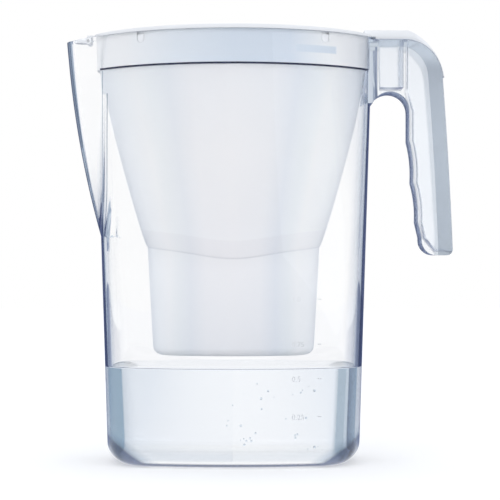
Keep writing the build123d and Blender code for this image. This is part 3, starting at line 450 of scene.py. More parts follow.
def apply_modifiers(piece):
    """Replaces the mesh by what its modifiers make of it."""
    graph = bpy.context.evaluated_depsgraph_get()
    made = bpy.data.meshes.new_from_object(piece.evaluated_get(graph))
    piece.modifiers.clear()
    old, piece.data = piece.data, made
    bpy.data.meshes.remove(old)


def combine(piece, tool, operation="DIFFERENCE", keep_slots=False):
    """Boolean of two closed pieces; the tool is used up, and its faces can keep their material slot."""
    step = piece.modifiers.new("combine", "BOOLEAN")
    step.operation, step.solver, step.object = operation, "EXACT", tool
    if keep_slots:
        step.material_mode = "TRANSFER"
    apply_modifiers(piece)
    bpy.data.objects.remove(tool)


def prism(name, outline, half_width):
    """Solid between two copies of an outline that is drawn from the side."""
    area = sum(a[0] * b[1] - b[0] * a[1] for a, b in zip(outline, outline[1:] + outline[:1]))
    if area < 0:
        outline = outline[::-1]
    count = len(outline)
    points = [(x, side * half_width, z) for side in (-1, 1) for x, z in outline]
    faces = [tuple(range(count)), tuple(range(2 * count - 1, count - 1, -1))]
    faces += [((i + 1) % count, i, i + count, (i + 1) % count + count) for i in range(count)]
    return new_piece(name, points, faces)


def make_handle():
    outline = handle_outline()
    body = prism("handle", outline, HANDLE_HALF_WIDTH)
    drawn_in = [tuple(blend(m, v, BAND_SCALE) for m, v in zip(BAND_MIDDLE, point)) for point in outline]
    band = prism("band", drawn_in, HANDLE_HALF_WIDTH + BEAD_STEP)
    line, _ = handle_back(BEAD_WIDTH)
    before = ROOT_START - 5
    inside = [(before, line[0][1])] + line + [(line[-1][0], PAST_FOOT), (before, PAST_FOOT)]
    combine(band, prism("inside", inside, PAST_SIDE))
    for part, slot_name in ((body, "web"), (band, "bead")):
        part.data.materials.append(bpy.data.materials.new(slot_name))
    combine(body, band, "UNION", keep_slots=True)

    cavity = HANDLE_HALF_WIDTH - HANDLE_WALL
    floor = HANDLE_FOOT + HANDLE_WEB
    gap_top = GAP_CENTRE[1] + GAP_RADIUS
    grip = finger_line(HANDLE_WEB) + [(RIB[1], gap_top), (RIB[1], PAST_TOP), (PAST_BACK, PAST_TOP)]
    grip += [(PAST_BACK, floor), (HANDLE_FRONT_LOW[0] + HANDLE_FOOT_RADIUS, floor)]
    combine(body, prism("grip", grip, cavity))
    low = gap_top + HANDLE_WEB
    pocket = [(ROOT_PLATE, low), (RIB[0], low), (RIB[0], PAST_TOP), (ROOT_PLATE, PAST_TOP)]
    combine(body, prism("pocket", pocket, cavity))
    return body


handle = make_handle()
print("handle faces", len(handle.data.polygons))

# %% [markdown]
# ## Handle and wall in one
# The handle is trimmed by a block that follows the wall, its edges are rounded, and it is joined to
# the wall, so that light finds no hidden face between them.

# %% Join the handle to the wall
HANDLE_EDGE = 0.7
SHARP_ANGLE = SMOOTH_ANGLE * 0.85
ROUND_FROM = 84.5  # edges nearer the axis stay sharp, as they end inside the wall
CORE_INSET, CORE_SPAN = 1.0, (180, 252.9, 12)


def bevel(piece, width, segments, method, angle=SMOOTH_ANGLE):
    step = piece.modifiers.new("round", "BEVEL")
    step.width, step.segments = width * MM, segments
    step.limit_method, step.angle_limit = method, angle
    apply_modifiers(piece)


def round_beyond(piece, width, start):
    """Rounds the sharp edges that lie farther out along X than the start."""
    work = bmesh.new()
    work.from_mesh(piece.data)
    weight = work.edges.layers.float.new("bevel_weight_edge")
    for edge in work.edges:
        if edge.calc_face_angle(0) > SHARP_ANGLE and min(v.co.x for v in edge.verts) > start * MM:
            edge[weight] = 1.0
    work.to_mesh(piece.data)
    work.free()
    bevel(piece, width, 3, "WEIGHT")


combine(handle, skin("core", [wall_ring(z, CORE_INSET) for z in spread(*CORE_SPAN)]))
round_beyond(handle, HANDLE_EDGE, ROUND_FROM)
jug.data.materials.append(bpy.data.materials.new("wall"))
combine(jug, handle, "UNION", keep_slots=True)
smooth(jug)
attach(jug, "jug")
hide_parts("jug")
print("jug faces", len(jug.data.polygons))

# %% [markdown]
# ## Stations of the funnel
# The funnel is a collar that stands on the jug's ledge, a hopper that flares like a bell, and a cup.
# It is one more ring skin: up the outside, over the rim and down the inside. Where the hopper meets
# the cup the real one shows a line that smiles, lower in the middle of the side than at the ends.

# %% Rings of the funnel
FUNNEL_WALL = 1.8
COLLAR_INSET = 1.8
COLLAR_EDGE = 0.3
CUP_BOTTOM_PLAN = (47.8, 28.3, 20.0, 68.0, 22.0)
CUP_TOP_PLAN = (51.3, 31.5, 20.0, 68.0, 22.0)
CUP_BOTTOM = 64.0
CUP_PLAIN_TOP = 112.0
CUP_TOP = 127.0
CUP_HEEL = 5.0
CUP_FLOOR = 2.0
FLARE = [(0.0, 0.0), (0.29, 0.34), (0.58, 0.64), (1.0, 1.0)]
FUNNEL_SEAT = LEDGE_HEIGHT + 0.05
STEP_DEPTH = 0.45
SMILE_LIFT, SMILE_DROP = 3.5, 1.9
# How the smile fades: share of the hopper's height, share of the step, lift and drop.
SMILE_FADE = ((0.01, 1.0, SMILE_LIFT, SMILE_DROP), (0.03, 1.0, 2.6, 1.4), (0.07, 0.8, 1.2, 0.7))
SEAL_RIB = (121.0, 118.5, 1.5)  # top, bottom and height of the rib that the cartridge seals on
FUNNEL_DIRECTIONS = [radians(1.5 * i) for i in range(240)]


def flare(share):
    """Widening of the hopper at a share of its height, through the four stations."""
    total = 0.0
    for i, (xi, weight) in enumerate(FLARE):
        for j, (xj, _) in enumerate(FLARE):
            if i != j:
                weight *= (share - xj) / (xi - xj)
        total += weight
    return total


def ledge_plan():
    gap = JUG_WALL + 0.4
    plan = plan_at(LEDGE_HEIGHT)
    return [v - gap for v in plan[:3]] + plan[3:]


LEDGE_PLAN = ledge_plan()


def plan_ring(plan, height, inset=0.0, scale=1.0):
    arcs = plan_arcs(plan)
    ring = []
    for d in FUNNEL_DIRECTIONS:
        far = scale * plan_reach(arcs, d, inset)
        ring.append((far * cos(d), far * sin(d), height))
    return ring


def cup_ring(height, inset=0.0, scale=1.0):
    share = (height - CUP_BOTTOM) / (CUP_TOP - CUP_BOTTOM)
    return plan_ring(blend_plans(CUP_BOTTOM_PLAN, CUP_TOP_PLAN, share), height, inset, scale)


def hopper_ring(share, inset=0.0):
    plan = blend_plans(CUP_TOP_PLAN, LEDGE_PLAN, flare(share))
    return plan_ring(plan, blend(CUP_TOP, FUNNEL_SEAT, share), inset)


def collar_ring(height, inset):
    return plan_ring(plan_at(height), height, inset)


def smile(ring, lift=SMILE_LIFT, drop=SMILE_DROP):
    """Lifts a ring's ends and lowers its sides."""
    return [(x, y, z - drop + lift * cos(2 * d)) for (x, y, z), d in zip(ring, FUNNEL_DIRECTIONS)]


def funnel_outside():
    step, edge = STEP_DEPTH, COLLAR_EDGE
    rings = [cup_ring(CUP_BOTTOM, CUP_HEEL, s) for s in (0.1, 0.55, 0.8)]
    rings += [cup_ring(CUP_BOTTOM + CUP_HEEL * c, CUP_HEEL * (1 - s)) for s, c in quarter(7)]
    rings += [cup_ring(z) for z in spread(CUP_BOTTOM + CUP_HEEL, CUP_PLAIN_TOP, 6)[1:]]
    rings += [smile(cup_ring(CUP_TOP + up, inset)) for up, inset in ((-0.5, 0), (0, -0.1), (0.2, -step))]
    rings += [smile(hopper_ring(share, -step * part), lift, drop) for share, part, lift, drop in SMILE_FADE]
    rings += [hopper_ring(s, -step * 0.8 * max(1 - s * 2, 0)) for s in spread(0.12, 1.0, 0.035)]
    rings += [collar_ring(FUNNEL_SEAT, COLLAR_INSET + edge), collar_ring(FUNNEL_SEAT + edge, COLLAR_INSET)]
    rings += [collar_ring(z, COLLAR_INSET) for z in spread(FUNNEL_SEAT + 1, JUG_HEIGHT - edge, 3)]
    return rings + [collar_ring(JUG_HEIGHT, COLLAR_INSET + edge)]


def funnel_inside():
    wall, bore, heel = FUNNEL_WALL, COLLAR_INSET + FUNNEL_WALL, CUP_HEEL - FUNNEL_WALL
    floor = CUP_BOTTOM + CUP_FLOOR
    rib_top, rib_bottom, rib_height = SEAL_RIB
    rings = [collar_ring(JUG_HEIGHT, bore - COLLAR_EDGE)]
    collar = (JUG_HEIGHT - COLLAR_EDGE, FUNNEL_SEAT + wall + COLLAR_EDGE, 3)
    rings += [collar_ring(z, bore) for z in spread(*collar)]
    rings += [hopper_ring(s, wall) for s in spread(1.0, 0.0, 0.04)]
    rings += [cup_ring(rib_top, wall), cup_ring(rib_top, wall + rib_height)]
    rings += [cup_ring(rib_bottom, wall + rib_height), cup_ring(rib_bottom, wall)]
    rings += [cup_ring(z, wall) for z in spread(rib_bottom - 1, floor + heel, 8)[:-1]]
    rings += [cup_ring(floor + heel * (1 - s), wall + heel * c) for s, c in quarter(5)]
    return rings + [plan_ring(CUP_BOTTOM_PLAN, floor, CUP_HEEL, s) for s in (0.7, 0.1)]


funnel = skin("funnel_milky", funnel_outside() + funnel_inside())
print("funnel skin faces", len(funnel.data.polygons))

# %% [markdown]
# ## Openings of the funnel
# Filtered water leaves through seven slots in the cup's floor. Two round notches in the collar take
# the keying nubs of the lid.

# %% Slots and notches
SLOT_COUNT, SLOT_PITCH = 7, 9.0
SLOT_LENGTH, SLOT_WIDTH = 26.0, 3.2
SLOT_SPAN = (60, 68)
NOTCH_X, NOTCH_Z, NOTCH_RADIUS, NOTCH_TOP = 53.2, 249.2, 2.15, 262


def half_turn(radius, centre, start, steps):
    return [(centre[0] + radius * cos(start + pi * i / steps),
             centre[1] + radius * sin(start + pi * i / steps)) for i in range(steps + 1)]


def slot_block(x):
    """Upright block with round ends, as long as a slot."""
    end = (SLOT_LENGTH - SLOT_WIDTH) / 2
    plan = half_turn(SLOT_WIDTH / 2, (x, end), 0, 8) + half_turn(SLOT_WIDTH / 2, (x, -end), pi, 8)
    return skin("slot", [[(px, py, z) for px, py in plan] for z in SLOT_SPAN])


def notch_block(x):
    outline = half_turn(NOTCH_RADIUS, (x, NOTCH_Z), pi, 10)
    return prism("notch", outline + [(x + NOTCH_RADIUS, NOTCH_TOP), (x - NOTCH_RADIUS, NOTCH_TOP)], 60)


for i in range(SLOT_COUNT):
    combine(funnel, slot_block((i - SLOT_COUNT // 2) * SLOT_PITCH))
for x in (-NOTCH_X, NOTCH_X):
    combine(funnel, notch_block(x))
smooth(funnel)
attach(funnel, "funnel")
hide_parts("funnel")
print("funnel faces", len(funnel.data.polygons))

# %% [markdown]
# ## Merged copies of the other solids
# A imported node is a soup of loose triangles, so its edges can't be rounded. Each of the other
# moulded pieces is copied, its doubles are merged, and its sharp edges get a small radius, because a
# tool can't cut a perfectly sharp corner and the light line along an edge is what tells the eye.

# %% Lid, cartridge and small parts as merged copies
MERGE_DISTANCE = 0.01
FLAT_ANGLE = radians(0.6)
EDGE_ANGLE = radians(40)
COPIES = [
    ("lid_cover", "lid_shell", 0.35, "lid", "lid_plastic"),
    ("fill_flap", "fill_flap_leaf", 0.25, "fill_flap", "lid_plastic"),
    ("spout_flap", "spout_flap_leaf", 0.15, "spout_flap", "lid_plastic"),
    ("cartridge_shell", "cartridge_body", 0.2, "cartridge", "cartridge_plastic"),
    ("cartridge_cap", "cartridge_head", 0.3, "cartridge", "cartridge_plastic"),
    ("reset_button", "button_cap", 0.1, "reset_button", "button_plastic"),
    ("indicator_case", "indicator_tray", 0.25, "lid", "case_plastic"),
    ("indicator_window", "indicator_pane", 0.1, "lid", "window_plastic"),
]


def merged_copy(node, name, width):
    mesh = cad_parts[node].data.copy()
    mesh.name = name
    mesh.materials.clear()
    work = bmesh.new()
    work.from_mesh(mesh)
    bmesh.ops.remove_doubles(work, verts=work.verts, dist=MERGE_DISTANCE * MM)
    bmesh.ops.dissolve_limit(work, angle_limit=FLAT_ANGLE, verts=work.verts, edges=work.edges)
    work.to_mesh(mesh)
    work.free()
    piece = bpy.data.objects.new(name, mesh)
    scene.collection.objects.link(piece)
    bevel(piece, width, 2, "ANGLE", EDGE_ANGLE)
    smooth(piece)
    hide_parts(node)
    return piece


copies = {}
for node, name, width, body, slot in COPIES:
    piece = merged_copy(node, name, width)
    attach(piece, body)
    copies[node] = piece
    print(name, len(piece.data.polygons), "faces")

# %% [markdown]
# ## Water
# Filtered water stands a little above the floor of the jug. Its skin lies just inside the plastic,
# so no film of air shows between them, and its edge climbs the wall a little as water does.

# %% Water
WATER_LEVEL = 57.5
WATER_OVERLAP = 0.25
MENISCUS = ((0.5, 0.0), (0.4, 0.3), (0.15, 0.8), (0.0, 1.6))  # height over the level, distance from the wall
ROUND_ANGLE = radians(60)


def make_water():
    inset = JUG_WALL - WATER_OVERLAP
    heel = HEEL_RADIUS - JUG_WALL
    low = JUG_FLOOR - WATER_OVERLAP
    rings = [wall_ring(low, inset + heel, 1, s) for s in (0.05, 0.3, 0.7)]
    rings += [wall_ring(low + heel * c, inset + heel * (1 - s), 1) for s, c in quarter(8)]
    rings += [wall_ring(z, inset, 1) for z in spread(low + heel, WATER_LEVEL, 9)[1:]]
    rings += [wall_ring(WATER_LEVEL + up, inset + inward, 1) for up, inward in MENISCUS]
    rings += [wall_ring(WATER_LEVEL, inset + MENISCUS[-1][1], 1, s) for s in (0.6, 0.05)]
    return skin("water", rings)


water = make_water()
smooth(water, ROUND_ANGLE)
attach(water, "jug")
print("water faces", len(water.data.polygons))

# %% [markdown]
# ## Level marks
# Plain numbers with a short line stand on the near wall at every quarter of a litre. Their flat faces
# are bent onto the wall's arc.

# %% Level marks
MARKS = (("0.25", 30.0), ("0.5", 52.0), ("0.75", 72.0), ("1.0", 98.0))
MARK_START = 34.0
MARK_SIZE = 4.3
MARK_DROP = MARK_SIZE * 0.35  # centres a figure on its height
MARK_RELIEF = 0.12
TICK = (49.0, 51.2, 0.45)  # from, to, thickness
BOX_FACES = [(3, 2, 1, 0), (4, 5, 6, 7), (0, 1, 5, 4), (1, 2, 6, 5), (2, 3, 7, 6), (3, 0, 4, 7)]


def wall_depth(x, height):
    """Half depth of the wall's outer face at a place along X."""
    _, corner_arc, side_arc, side, _ = plan_arcs(plan_at(height))
    centre_x, centre_y, radius = side_arc if abs(x) <= side_arc[2] * cos(side) else corner_arc
    return centre_y + sqrt(radius ** 2 - (abs(x) - centre_x) ** 2)


def figure_mesh(text):
    """Points and faces of raised figures."""
    curve = bpy.data.curves.new("mark", "FONT")
    curve.body, curve.size, curve.extrude, curve.resolution_u = text, MARK_SIZE, MARK_RELIEF, 4
    holder = bpy.data.objects.new("mark", curve)
    scene.collection.objects.link(holder)
    made = bpy.data.meshes.new_from_object(holder.evaluated_get(bpy.context.evaluated_depsgraph_get()))
    drawn = [tuple(v.co) for v in made.vertices], [tuple(p.vertices) for p in made.polygons]
    bpy.data.objects.remove(holder)
    bpy.data.meshes.remove(made)
    return drawn


def make_marks():
    points, faces = [], []

    def add(mesh_points, mesh_faces):
        start = len(points)
        for x, up, out in mesh_points:
            points.append((x, -wall_depth(x, up) - out, up))
        faces.extend([tuple(start + i for i in face) for face in mesh_faces])

    left, right, thick = TICK
    for text, height in MARKS:
        drawn, drawn_faces = figure_mesh(text)
        add([(MARK_START + x, height - MARK_DROP + y, z) for x, y, z in drawn], drawn_faces)
        low, high = height - thick / 2, height + thick / 2
        add([(x, up, out) for out in (-MARK_RELIEF, MARK_RELIEF)
             for x, up in ((left, low), (right, low), (right, high), (left, high))], BOX_FACES)
    return new_piece("level_marks", points, faces)


marks = make_marks()
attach(marks, "jug")
print("mark faces", len(marks.data.polygons))

# %% [markdown]
# ## Node helpers
# Geometry and shader nodes are made by one helper. Each setting is given by name: first the node's
# own settings, then its inputs, which take a number, a colour or the output of another node.

# %% Helpers for nodes
NODES_IN_ROW, NODE_WIDTH, NODE_HEIGHT = 8, 220, 300


def feed(socket, source):
    """Puts a number, a colour or another node's output into a socket."""
    if isinstance(source, bpy.types.NodeSocket):
        socket.id_data.links.new(source, socket)
    else:
        socket.default_value = (*source, 1) if isinstance(source, tuple) else source


def node_in(tree, kind, **values):
    node = tree.nodes.new(kind)
    row, column = divmod(len(tree.nodes), NODES_IN_ROW)
    node.location = (NODE_WIDTH * column, -NODE_HEIGHT * row)
    for name, value in values.items():
        if hasattr(node, name):
            setattr(node, name, value)
        else:
            feed(node.inputs[name.replace("_", " ")], value)
    return node


def tree_of(*sources):
    """Node tree of the first socket among some sources."""
    return next(source.id_data for source in sources if isinstance(source, bpy.types.NodeSocket))


def math_in(operation, *sources):
    """Math node on sockets or numbers."""
    step = node_in(tree_of(*sources), "ShaderNodeMath", operation=operation)
    for socket, source in zip(step.inputs, sources):
        feed(socket, source)
    return step.outputs[0]


def times(first, *others):
    for other in others:
        first = math_in("MULTIPLY", first, other)
    return first


def share_of(source, low, high, start=0.0, end=1.0, **values):
    """Place of a value between two limits, from 0 to 1 or from a start to an end."""
    share = node_in(source.id_data, "ShaderNodeMapRange", **values, Value=source, From_Min=low, From_Max=high,
                    To_Min=start, To_Max=end)
    return share.outputs["Result"]


def new_group(name, kind, inputs, outputs):
    """Node group with named sockets, each as its kind or as a number that it starts with."""
    group = bpy.data.node_groups.new(name, kind)
    for way, sockets in (("INPUT", inputs), ("OUTPUT", outputs)):
        for socket_name, value in sockets.items():
            number = isinstance(value, float)
            socket = group.interface.new_socket(
                socket_name, in_out=way, socket_type="NodeSocket" + ("Float" if number else value))
            if number:
                socket.default_value = value
    return group


print("nodes stand in rows of", NODES_IN_ROW)

# %% [markdown]
# ## Bubbles
# A few bubbles of air hang in the water near the wall. A geometry node group scatters them in a box
# with a fixed seed, and its inputs name how many, how big and where.

# %% Bubbles
BUBBLES = {"Count": 30, "Seed": 7, "Radius": 0.75 * MM, "Low": (-0.019, -0.0415, 0.009),
           "High": (0.050, -0.038, 0.050)}
SMALLEST_BUBBLE = 0.35  # as a share of the largest


def make_bubble_group():
    group = new_group("scattered_bubbles", "GeometryNodeTree", {
        "Geometry": "Geometry", "Count": "Int", "Seed": "Int", "Radius": "Float", "Low": "Vector",
        "High": "Vector", "Material": "Material"}, {"Geometry": "Geometry"})
    given = node_in(group, "NodeGroupInput").outputs
    where = node_in(group, "FunctionNodeRandomValue", data_type="FLOAT_VECTOR", Min=given["Low"],
                    Max=given["High"], Seed=given["Seed"])
    points = node_in(group, "GeometryNodePoints", Count=given["Count"], Position=where.outputs["Value"])
    how_big = node_in(group, "FunctionNodeRandomValue", data_type="FLOAT", Min=SMALLEST_BUBBLE,
                      Seed=given["Seed"])
    ball = node_in(group, "GeometryNodeMeshIcoSphere", Subdivisions=3)
    placed = node_in(group, "GeometryNodeInstanceOnPoints", Points=points.outputs[0],
                     Instance=ball.outputs["Mesh"], Scale=times(how_big.outputs["Value"], given["Radius"]))
    real = node_in(group, "GeometryNodeRealizeInstances", Geometry=placed.outputs["Instances"])
    dressed = node_in(group, "GeometryNodeSetMaterial", Geometry=real.outputs["Geometry"],
                      Material=given["Material"])
    node_in(group, "NodeGroupOutput", Geometry=dressed.outputs["Geometry"])
    return group


def make_bubbles(material):
    piece = new_piece("air_bubbles", [(0, 0, 0)], [])
    step = piece.modifiers.new("scatter", "NODES")
    step.node_group = make_bubble_group()
    values = {**BUBBLES, "Material": material}
    for item in step.node_group.interface.items_tree:
        if item.in_out == "INPUT" and item.name in values:
            step[item.identifier] = values[item.name]
    apply_modifiers(piece)
    smooth(piece, ROUND_ANGLE)
    return piece


bubbles = make_bubbles(bpy.data.materials.new("bubble_place"))
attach(bubbles, "jug")
print("bubble faces", len(bubbles.data.polygons))

# %% [markdown]
# ## Finishes
# Each finish is a Principled shader with its constants on its own sockets. Only what changes over
# the surface, such as fine ripple from the mould or satin grain, comes through nodes. A shared group
# gives that ripple as a height and a small change of roughness.

# %% Shared ripple group and the finish that uses it
RIPPLE_INPUTS = {"Scale": 60.0, "Stretch": 1.0, "Rough Low": 0.1, "Rough High": 0.2}


def make_ripple_group():
    group = new_group("mould_ripple", "ShaderNodeTree", RIPPLE_INPUTS,
                      {"Height": "Float", "Roughness": "Float"})
    given = node_in(group, "NodeGroupInput").outputs
    place = node_in(group, "ShaderNodeTexCoord").outputs["Object"]
    squeeze = node_in(group, "ShaderNodeCombineXYZ", X=1.0, Y=1.0, Z=given["Stretch"])
    mapping = node_in(group, "ShaderNodeMapping", Vector=place, Scale=squeeze.outputs["Vector"])
    noise = node_in(group, "ShaderNodeTexNoise", Vector=mapping.outputs["Vector"], Scale=given["Scale"],
                    Detail=3.0, Roughness=0.5).outputs["Fac"]
    rough = share_of(noise, 0.0, 1.0, given["Rough Low"], given["Rough High"])
    node_in(group, "NodeGroupOutput", Height=noise, Roughness=rough)
    return group


RIPPLE = make_ripple_group()


def finish(name, colour, scale, rough, bump, stretch=1.0, **constants):
    """Principled material whose roughness and bump come from the ripple group."""
    material = bpy.data.materials.new(name)
    material.use_nodes = True
    tree = material.node_tree
    shader = tree.nodes["Principled BSDF"]
    shader.inputs["Base Color"].default_value = (*colour, 1)
    for key, value in constants.items():
        shader.inputs[key.replace("_", " ")].default_value = value
    ripple = node_in(tree, "ShaderNodeGroup", node_tree=RIPPLE, Scale=scale, Stretch=stretch,
                     Rough_Low=rough[0], Rough_High=rough[1])
    feed(shader.inputs["Roughness"], ripple.outputs["Roughness"])
    if bump:
        height = node_in(tree, "ShaderNodeBump", Strength=1.0, Distance=bump * MM,
                         Height=ripple.outputs["Height"])
        feed(shader.inputs["Normal"], height.outputs["Normal"])
    return material


def dress(piece, material):
    piece.data.materials.clear()
    piece.data.materials.append(material)


print("ripple group nodes", len(RIPPLE.nodes))

# %% [markdown]
# ## Colour over place and angle
# Clear and milky plastic get painted shade and painted light in their colour, from where a point lies
# and how squarely it faces the eye. Edges seen at a glancing angle are painted deeper in colour, as
# painted shade. Light that is mirrored inside a piece again and again ends in an emitted, painted shade
# of the plastic, not in black.

# %% Helpers for shades
WHITE = (1, 1, 1)
INSIDE_BOUNCES = 3


def split(vector):
    """X, Y and Z of a vector."""
    return tuple(node_in(vector.id_data, "ShaderNodeSeparateXYZ", Vector=vector).outputs)


def place_in(tree):
    """X, Y and Z of a point on the piece, in millimetres."""
    place = node_in(tree, "ShaderNodeTexCoord").outputs["Object"]
    scaled = node_in(tree, "ShaderNodeVectorMath", operation="SCALE", Vector=place, Scale=1 / MM)
    return split(scaled.outputs["Vector"])


def facing_in(tree):
    return node_in(tree, "ShaderNodeLayerWeight", Blend=0.5).outputs["Facing"]


def ramp_in(source, stops):
    """Colour ramp with the given stops over a value."""
    ramp = node_in(source.id_data, "ShaderNodeValToRGB", Fac=source)
    elements = ramp.color_ramp.elements
    while len(elements) < len(stops):
        elements.new(0.5)
    for element, (position, colour) in zip(elements, stops):
        element.position, element.color = position, (*colour, 1)
    return ramp.outputs["Color"]


def mixed(share, first, second, blend_type="MIX"):
    return node_in(tree_of(first, second, share), "ShaderNodeMix", data_type="RGBA", blend_type=blend_type,
                   Factor=share, A=first, B=second).outputs["Result"]


def product(first, second):
    return mixed(1.0, first, second, "MULTIPLY")


def layered(current, layers):
    """Lays shaders over one another, each where its mask is 1."""
    for mask, source in layers:
        pick = node_in(current.id_data, "ShaderNodeMixShader")
        for socket, value in zip(pick.inputs, (mask, current, source)):
            feed(socket, value)
        current = pick.outputs[0]
    return current


def parts_of(material):
    """Node tree, base colour socket and the constant colour in it."""
    tree = material.node_tree
    socket = tree.nodes["Principled BSDF"].inputs["Base Color"]
    return tree, socket, tuple(socket.default_value)[:3]


# Painted shade: the colour deepens as the surface is seen more edge-on.
def paint_edge_shade(material, stops):
    tree, colour, base = parts_of(material)
    feed(colour, ramp_in(facing_in(tree), ((0.0, base), *stops)))


def shade_along(material, axis, low, high, stops):
    """Multiplies the colour by a ramp over the place along one axis."""
    tree, colour, _ = parts_of(material)
    along = share_of(place_in(tree)["XYZ".index(axis)], low, high)
    feed(colour, product(colour.links[0].from_socket, ramp_in(along, stops)))


# Painted light: light mirrored INSIDE_BOUNCES times ends in an emission of a painted shade, light where the
# surface is seen square-on or edge-on and dark in between.
def end_inside(material, light_shade, dark_shade):
    tree = material.node_tree
    deep = math_in("GREATER_THAN", node_in(tree, "ShaderNodeLightPath").outputs["Glossy Depth"],
                   INSIDE_BOUNCES - 0.5)
    shade = ramp_in(facing_in(tree), ((0.1, light_shade), (0.45, dark_shade), (0.8, light_shade)))
    end = node_in(tree, "ShaderNodeEmission", Strength=1.0, Color=shade).outputs[0]
    surface = layered(tree.nodes["Principled BSDF"].outputs[0], [(deep, end)])
    feed(tree.nodes["Material Output"].inputs["Surface"], surface)


print("light ends after", INSIDE_BOUNCES, "bounces inside")

# %% [markdown]
# ## The clear wall
# Navy lines along the wall, steel-blue bands and dark corners where water stands behind it, and lines
# along the spout's nose, its creases, the ledge and the base are painted shade in the wall's colour, in
# place of the dark studio that a clear wall bends and mirrors. These painted shades are bound to the
# wall: by how edge-on it is seen, on the spout's side and on the handle's side, and by place. They act
# only where the eye meets the wall first, so light inside it keeps the clear colour.

# %% Shades of the clear wall
NAVY = (0.008, 0.011, 0.035)
SLATE = (0.34, 0.39, 0.47)
STEEL_BLUE = (0.085, 0.16, 0.25)
DEEP_BLUE = (0.17, 0.25, 0.34)
DULL_BLUE = (0.27, 0.35, 0.45)
# Painted shade above the water over how edge-on the wall is seen: spout's side first, then handle's side.
WALL_SHADES_ABOVE = (
    ((0.38, WHITE), (0.50, (0.88, 0.90, 0.93)), (0.62, (0.74, 0.77, 0.82)), (0.69, (0.72, 0.75, 0.80)),
     (0.71, SLATE), (0.745, SLATE), (0.755, NAVY), (1.0, NAVY)),
    ((0.22, WHITE), (0.29, (0.82, 0.84, 0.89)), (0.39, (0.66, 0.70, 0.77)), (0.46, (0.52, 0.56, 0.64)),
     (0.60, (0.35, 0.39, 0.47)), (0.70, (0.25, 0.29, 0.37)), (0.715, NAVY), (1.0, NAVY)))
# Painted shade where water stands behind the wall, over how edge-on it is seen: spout's side, handle's side.
WALL_SHADES_BELOW = (
    ((0.0, (0.93, 0.95, 0.97)), (0.06, (0.66, 0.72, 0.80)), (0.235, (0.36, 0.43, 0.52)), (0.265, STEEL_BLUE),
     (0.70, STEEL_BLUE), (0.80, (0.36, 0.46, 0.56)), (0.92, (0.62, 0.72, 0.80))),
    ((0.0, (0.95, 0.965, 0.98)), (0.10, (0.66, 0.73, 0.82)), (0.15, DEEP_BLUE), (0.27, DEEP_BLUE),
     (0.29, DULL_BLUE), (0.335, DULL_BLUE), (0.36, (0.024, 0.044, 0.095)), (0.62, (0.085, 0.15, 0.24)),
     (0.66, (0.40, 0.46, 0.55)), (0.9, (0.72, 0.78, 0.84))))
# Painted shade: dark corners and a line along the base under the water, and a line along the ledge.
LEAN_FADE = 1.4  # how fast the shade under water fades on faces that lean
ENDS = (58, 74)  # distance from the middle where the end walls begin
CORNERS = (38, 51)  # the same for the dark corners, which lean out with height
CORNER_LEAN = 1.5
CORNER_SHADE_STOPS = ((0.0, WHITE), (0.6, (0.50, 0.57, 0.66)), (0.9, (0.035, 0.05, 0.11)))
BASE_LINE = (3.2, 2.0)  # heights between which the line along the base grows
BASE_LINE_FACING = (0.3, 0.5)
BASE_LINE_SHADE = (0.02, 0.03, 0.08)
LEDGE_LINE = (0.55, -79.0)  # half height, and where it ends at the spout
LEDGE_SHADE = (0.001, 0.0015, 0.008)
# Painted dark shade on the spout's nose, behind its front line.
NOSE_FROM = -81.0
NOSE_DEPTH = 3.0
NOSE_FACING = (0.08, 0.18)
NOSE_SHADE_STOPS = ((0.0, NAVY), (0.16, (0.012, 0.016, 0.045)), (0.24, (0.20, 0.25, 0.32)),
              (0.46, (0.24, 0.29, 0.37)), (0.55, (0.06, 0.09, 0.15)), (0.66, (0.10, 0.14, 0.21)),
              (0.78, (0.66, 0.71, 0.78)), (0.95, WHITE))
# Painted shade lines along the spout's creases.
CREASE_LINES = ((-77.4, 232.5, SLATE), (-74.4, 219.0, (0.14, 0.18, 0.25)))  # place, top and shade
CREASE_WIDTH = 0.3
CREASE_BEND = (164.0, 2.4)  # from this height down to the root, and how far


def by_side(on_handle_side, amount, pair):
    """Ramps over a value, one for the spout's side and one for the handle's side."""
    spout, handle_side = (ramp_in(amount, stops) for stops in pair)
    return mixed(on_handle_side, spout, handle_side)


def nose_shade(x, z, facing, shade):
    """Painted dark shade on the nose of the spout, by the distance behind its front line."""
    fronts = [(share, (spout_front(blend(SPOUT_ROOT, JUG_HEIGHT, share)) / -SPOUT_REACH,) * 3)
              for share in (i / 8 for i in range(9))]
    line = ramp_in(share_of(z, SPOUT_ROOT, JUG_HEIGHT), fronts)
    behind = math_in("SUBTRACT", x, times(line, -SPOUT_REACH))
    at_spout = times(math_in("LESS_THAN", x, NOSE_FROM), share_of(facing, *NOSE_FACING))
    return mixed(at_spout, shade, ramp_in(share_of(behind, 0, NOSE_DEPTH), NOSE_SHADE_STOPS))


def crease_shade(x, z, shade):
    """Thin painted shade lines along the creases of the spout, which bend forward near its root."""
    bend_from, bend = CREASE_BEND
    bent = math_in("POWER", share_of(z, bend_from, SPOUT_ROOT), 2)
    beside = math_in("ADD", x, times(bent, bend))
    above_root = math_in("GREATER_THAN", z, SPOUT_ROOT)
    for place, top, colour in CREASE_LINES:
        on_line = math_in("COMPARE", beside, place, CREASE_WIDTH)
        below_top = math_in("LESS_THAN", z, top)
        shade = mixed(times(on_line, above_root, below_top), shade, colour)
    return shade


